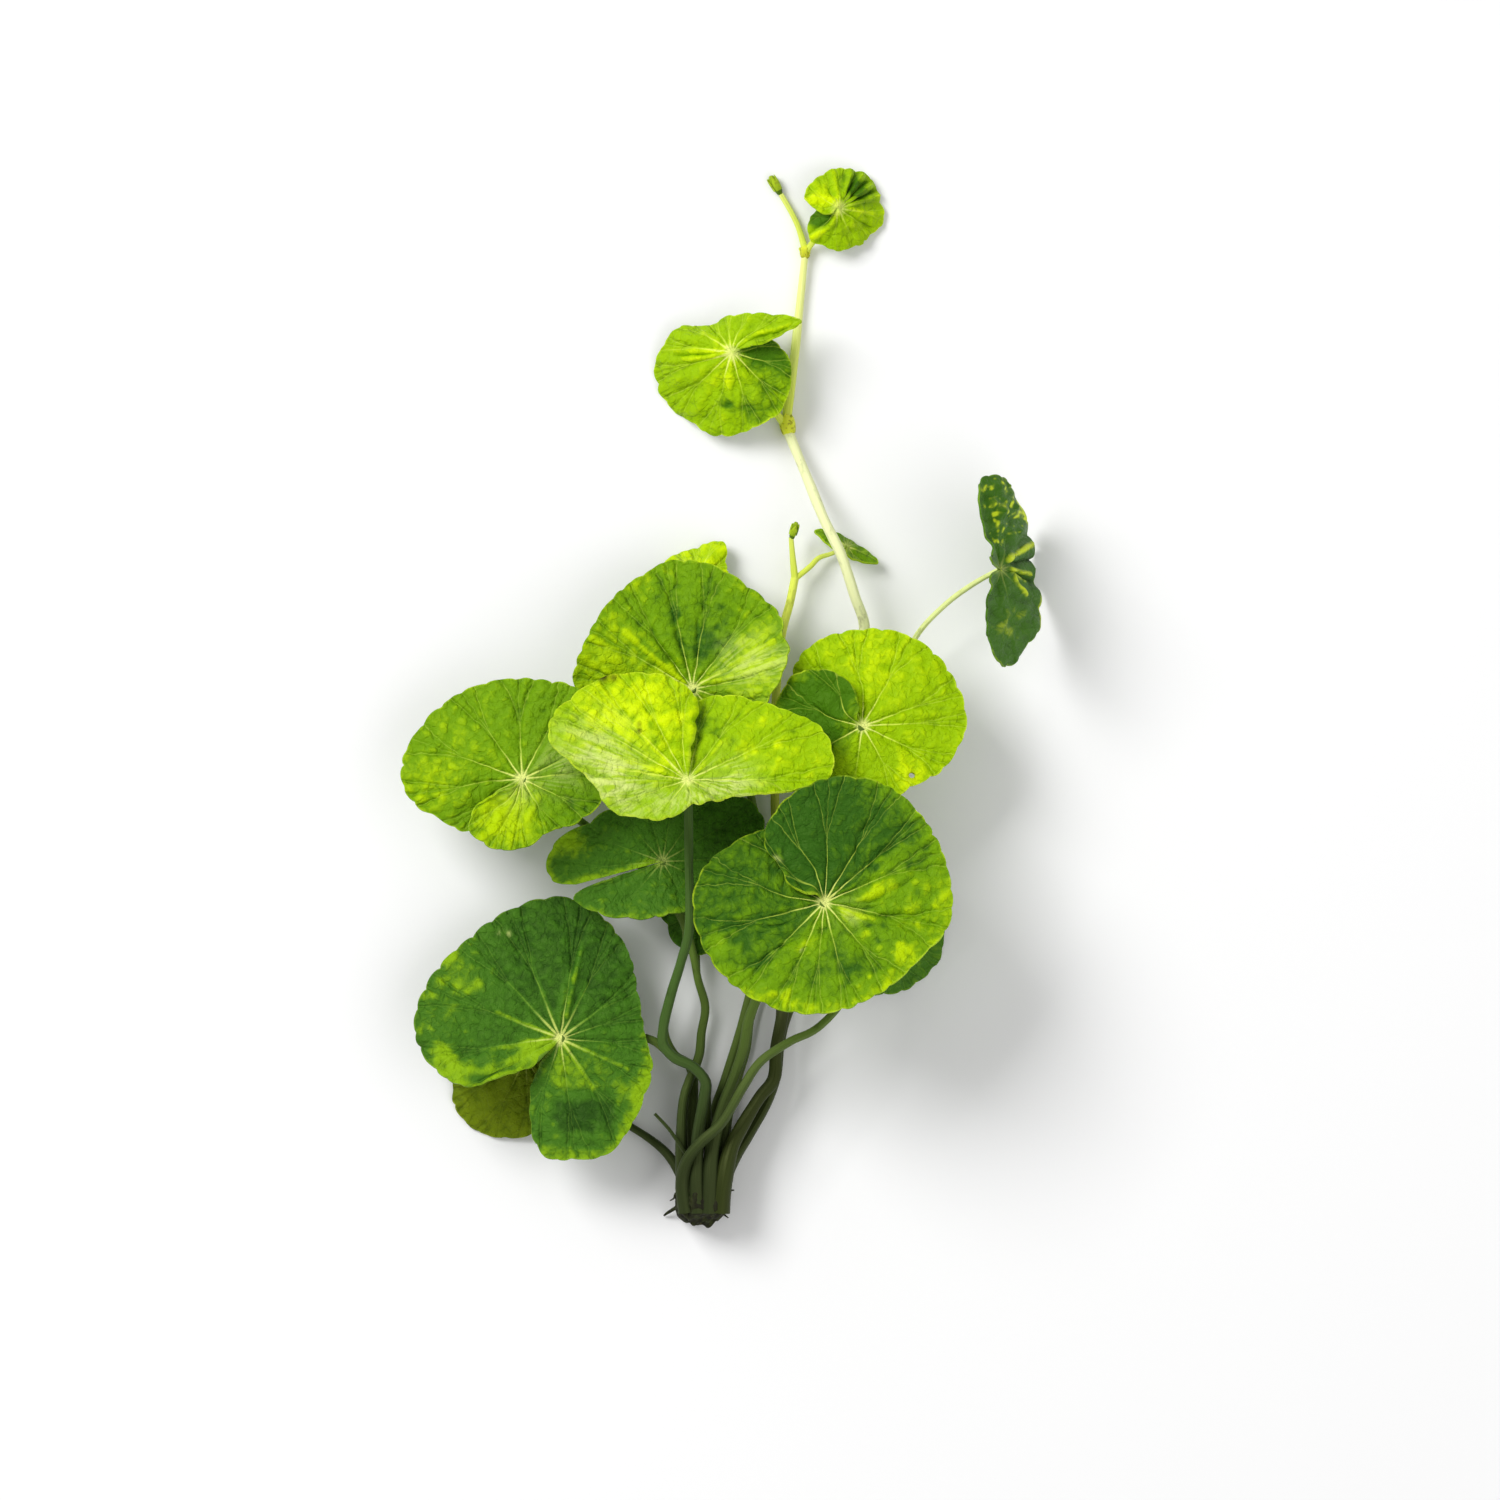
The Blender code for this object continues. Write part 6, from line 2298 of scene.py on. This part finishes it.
STALKS: tuple[Stalk, ...] = (
    Stalk(
        "petiole_front", OLIVE_STALK,
        (base(3, 4), (-1.5, -82.2, 9.1), (0.5, -74.3, 10.0), (2.3, -69.6, 11.0), (4.1, -64.2, 12.2),
         (5.3, -58.2, 14.0), (8.0, -52.0, 17.0), (12.0, -45.5, 21.5), (16.5, -40.0, 26.5),
         under(LEAF_FRONT)),
        (2.1, 1.5), sheath=0.4, flare=0.2,
    ),
    Stalk(
        "petiole_centre", SHADE_STALK,
        (base(2, 4), (-4.1, -80.2, 9.2), (-3.0, -72.6, 11.6), (-2.8, -69.9, 12.4), (-5.1, -67.2, 12.6),
         (-8.4, -65.6, 12.6), (-10.4, -63.1, 12.2), (-10.4, -60.6, 12.4), (-9.1, -54.8, 14.5),
         (-7.1, -48.2, 17.5), (-5.7, -42.9, 19.5), (-5.7, -30.0, 21.5), (-5.8, -19.0, 24.6),
         under(LEAF_CENTRE)),
        (1.9, 1.5), sheath=0.4, flare=0.2,
    ),
    Stalk(
        "petiole_right", OLIVE_STALK,
        (base(4, 3), (0.8, -80.0, 6.9), (1.6, -74.3, 7.6), (2.9, -69.6, 8.3), (4.4, -64.2, 9.2),
         (5.3, -58.2, 9.8), (9.0, -48.0, 10.0), (12.0, -35.0, 11.0), (16.0, -22.0, 13.0),
         (22.0, -11.0, 16.2), under(LEAF_RIGHT)),
        (1.8, 1.4), sheath=0.4, flare=0.2,
    ),
    Stalk(
        "petiole_left", OLIVE_STALK,
        (base(2, 2), (-5.3, -78.0, 4.3), (-5.0, -70.5, 4.6), (-5.6, -67.2, 5.0), (-8.4, -65.2, 6.6),
         (-10.3, -61.0, 7.4), (-9.1, -54.8, 8.0), (-7.1, -48.2, 8.4), (-6.2, -42.9, 7.7),
         (-12.0, -33.5, 7.8), (-19.0, -27.6, 8.2), (-24.8, -23.4, 9.2), (-30.0, -19.4, 13.0),
         (-34.2, -16.5, 16.2), under(LEAF_LEFT)),
        (1.8, 1.3), sheath=0.4, flare=0.2,
    ),
    Stalk(
        "petiole_back", OLIVE_STALK,
        (base(3, 2), (-1.9, -79.0, 4.6), (-0.8, -74.3, 5.3), (0.5, -70.8, 5.8), (2.6, -64.2, 6.6),
         (4.3, -58.2, 7.0), (6.2, -50.0, 7.2), (7.2, -38.0, 7.2), (6.5, -25.0, 7.5), (3.0, -10.0, 9.0),
         (-2.2, -2.4, 11.8), under(LEAF_BACK)),
        (1.7, 1.4), sheath=0.4, flare=0.2,
    ),
    Stalk(
        "petiole_mid", OLIVE_STALK,
        (base(1, 3), (-7.1, -78.9, 6.8), (-6.6, -72.8, 6.9), (-5.5, -69.4, 7.0), (-3.9, -65.3, 7.4),
         (-3.5, -61.3, 8.0), (-2.8, -56.6, 8.6), (-4.1, -51.6, 9.2), (-5.2, -46.0, 9.8),
         (-8.0, -37.5, 10.0), (-9.8, -32.5, 10.4), under(LEAF_MID)),
        (1.8, 1.2), sheath=0.4, flare=0.2,
    ),
    Stalk(
        "petiole_low", OLIVE_STALK,
        (base(3, 3), (-2.2, -80.0, 6.9), (-2.6, -73.0, 8.3), (-2.6, -69.8, 9.5), (-5.1, -67.2, 9.8),
         (-8.4, -65.6, 9.9), (-12.2, -62.6, 9.6), (-16.0, -61.8, 8.9), (-22.0, -61.8, 8.6),
         (-26.8, -62.3, 9.8), under(LEAF_LOW)),
        (1.6, 1.3), sheath=0.4, flare=0.2,
    ),
    Stalk(
        "petiole_under", OLIVE_STALK,
        (base(1, 2), (-9.5, -83.4, 3.2), (-12.7, -80.6, 2.2), (-15.8, -78.6, 1.8), (-20.0, -76.0, 1.6),
         (-27.0, -71.2, 1.8), (-33.0, -67.2, 2.8), under(LEAF_UNDER)),
        (1.4, 1.0), sheath=0.4,
    ),
    Stalk(
        "petiole_behind_front", OLIVE_STALK,
        (base(1, 4), (-6.0, -84.0, 10.8), (-3.3, -80.6, 12.1), (0.1, -77.5, 12.7), (4.1, -70.8, 13.3),
         (7.1, -66.4, 13.0), (12.5, -62.7, 12.3), (17.0, -60.6, 11.0), (22.0, -55.6, 8.6),
         (26.2, -48.6, 6.2), under(LEAF_BEHIND_FRONT)),
        (1.8, 1.2), sheath=0.4,
    ),
    Stalk(
        "petiole_behind_mid", OLIVE_STALK,
        (base(1, 1), (-6.9, -80.0, 1.7), (-6.3, -73.0, 1.9), (-4.2, -67.0, 2.2), (-3.5, -61.3, 2.6),
         (-2.8, -56.6, 3.0), (-4.1, -51.6, 3.0), (-4.2, -45.0, 2.6), under(LEAF_BEHIND_MID)),
        (1.4, 1.0), sheath=0.35,
    ),
    Stalk(
        "petiole_side", GREEN_STALK,
        (base(4, 2), (2.4, -84.0, 4.1), (5.2, -79.5, 4.2), (8.3, -74.0, 4.3), (10.0, -69.0, 4.3),
         (10.6, -64.2, 4.2), (11.6, -59.5, 4.0), (15.5, -50.0, 3.0), (19.5, -38.0, 2.6),
         (24.0, -22.0, 3.0), (28.6, -8.0, 5.0), (32.5, 3.0, 8.0), (35.2, 10.2, 10.3),
         (40.6, 16.1, 13.0), (45.5, 19.7, 15.4), under(LEAF_SIDE, -0.25, -0.1, -0.05)),
        (1.8, 0.9), sheath=0.4,
    ),
    Stalk(
        "petiole_peek", OLIVE_STALK,
        (base(3, 1), (0.3, -77.0, 1.6), (2.2, -70.0, 1.7), (4.0, -64.0, 1.8), (5.4, -58.0, 1.9),
         (7.6, -50.0, 1.9), (8.4, -42.0, 1.9), (8.0, -32.0, 2.0), (5.5, -18.0, 2.2), (1.0, 0.0, 2.6),
         (-2.6, 14.0, 3.2), under(LEAF_PEEK)),
        (1.4, 0.9), sheath=0.35,
    ),
    Stalk(
        "stalk_thin", OLIVE_STALK,
        (base(2, 3), (-5.0, -85.3, 7.3), (-6.6, -82.6, 8.7), (-9.3, -78.6, 9.1), (-11.9, -75.8, 9.0)),
        (0.9, 0.6), step=0.5,
    ),
    Stalk(
        "shoot_stem", SHOOT_STALK,
        (base(4, 1), (2.2, -84.0, 1.6), (5.0, -79.5, 1.7), (8.0, -74.0, 1.8), (9.8, -69.0, 1.8),
         (10.3, -64.2, 1.8), (10.7, -59.5, 1.9), (11.0, -50.0, 2.2), (10.8, -40.0, 2.4),
         (9.8, -20.0, 2.8), (10.0, 0.0, 3.4), (11.1, 11.1, 3.8), (12.5, 16.5, 4.1),
         SHOOT_FORK),
        (1.6, 1.5), sheath=0.35,
    ),
    Stalk(
        "shoot_tip", PALE_STALK,
        (beside(SHOOT_FORK, 0.0, -0.4), (13.0, 24.6, 4.8), (12.7, 28.2, 5.4)),
        (1.3, 0.9), step=0.4,
    ),
    Stalk(
        "petiole_edge", PALE_STALK,
        (beside(SHOOT_FORK, 0.0, -0.3), (16.2, 23.0, 3.4), (17.7, 24.5, 2.6),
         (20.0, 25.3, 1.9), under(LEAF_EDGE, -0.2, -0.1, -0.05)),
        (1.1, 0.7), step=0.4,
    ),
    Stalk(
        "runner_lower", RUNNER_STALK,
        (base(4, 4), (1.9, -82.0, 8.8), (4.1, -77.7, 8.2), (7.1, -72.8, 7.5), (9.6, -69.6, 7.2),
         (10.0, -64.2, 7.0), (10.9, -59.5, 7.0), (12.5, -50.0, 6.0), (13.8, -38.0, 4.6),
         (16.0, -22.0, 3.6), (20.0, -6.0, 3.4), (24.4, 5.0, 4.4), (26.0, 11.8, 6.0),
         (24.2, 17.6, 8.0), (21.7, 25.1, 8.9), (18.8, 31.1, 7.4), (15.6, 39.0, 4.2),
         beside(NODE_1, 0.0, -0.2)),
        (2.2, 1.8), sheath=0.4,
    ),
    Stalk(
        "petiole_runner", PALE_STALK,
        (beside(NODE_1, -0.3, 0.2, 0.2), (9.0, 52.0, 4.3), (5.5, 57.0, 5.8),
         (3.0, 60.3, 6.6), under(LEAF_RUNNER)),
        (1.4, 1.1), step=0.5,
    ),
    Stalk(
        "runner_upper", PALE_STALK,
        (beside(NODE_1, 0.0, 0.2), (13.1, 59.0, 1.3), (14.1, 68.3, 1.2),
         beside(NODE_2, -0.1, 0.0)),
        (1.8, 1.25), step=0.5,
    ),
    Stalk(
        "petiole_top", PALE_STALK,
        (beside(NODE_2, 0.2, 0.2, 0.1), (18.2, 83.6, 2.9), (20.2, 86.2, 4.0),
         under(LEAF_TOP)),
        (1.1, 0.9), step=0.4,
    ),
    Stalk(
        "runner_tip", PALE_STALK,
        (beside(NODE_2, -0.1, 0.2), (14.1, 84.2, 1.3), (12.9, 86.8, 1.2),
         (10.9, 90.3, 1.2)),
        (1.2, 0.9), step=0.4,
    ),
)

KNOBS: tuple[Knob, ...] = (
    Knob("runner_node_1", JOINT, (12.5, 46.4, 2.0), (11.7, 50.4, 1.9), 2.5,
         Scales(3, 0.15, 0.95, 62, 0.35)),
    Knob("runner_node_2", JOINT, (15.3, 78.4, 1.5), (15.2, 81.3, 1.6), 1.55,
         Scales(2, 0.35, 0.5, 34, 0.3), collars=(0.24, 0.72), knobbly=0.14),
    Knob("runner_bud", BUD, (10.9, 90.2, 1.2), (8.9, 93.6, 1.4), 1.45,
         Scales(7, 0.3, 0.66, 36, 0.22), knobbly=0.2),
    Knob("shoot_bud", BUD, (12.75, 27.8, 5.4), (13.7, 31.0, 6.0), 1.25,
         Scales(5, 0.3, 0.6, 45, 0.08)),
)

CROWN = Crown(
    "crown", Slot.CROWN_DARK, STOCK,
    stubs=(
        RootStub((-6.5, -91.5, 3.0), (-10.0, -94.4, 0.6), 1.3),
        RootStub((-3.0, -93.0, 3.5), (-2.4, -96.4, 1.2), 1.2),
        RootStub((-1.2, -92.0, 3.2), (1.2, -94.8, 0.6), 1.0),
        RootStub((0.6, -89.6, 7.6), (2.2, -89.6, 8.6), 0.9),
        RootStub((-7.4, -90.0, 6.0), (-9.2, -91.6, 4.0), 0.8),
        RootStub((-4.6, -93.4, 5.5), (-5.4, -95.4, 4.6), 0.9),
    ),
)


def main() -> None:
    """Set the stage and build every piece of the plant."""
    logging.basicConfig(level=logging.INFO, format="%(message)s")
    Studio().build()
    for blade in BLADES:
        blade.build()
    for stalk in STALKS:
        stalk.build()
    for knob in KNOBS:
        knob.build()
    CROWN.build()
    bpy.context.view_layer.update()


if __name__ == "__main__":
    main()
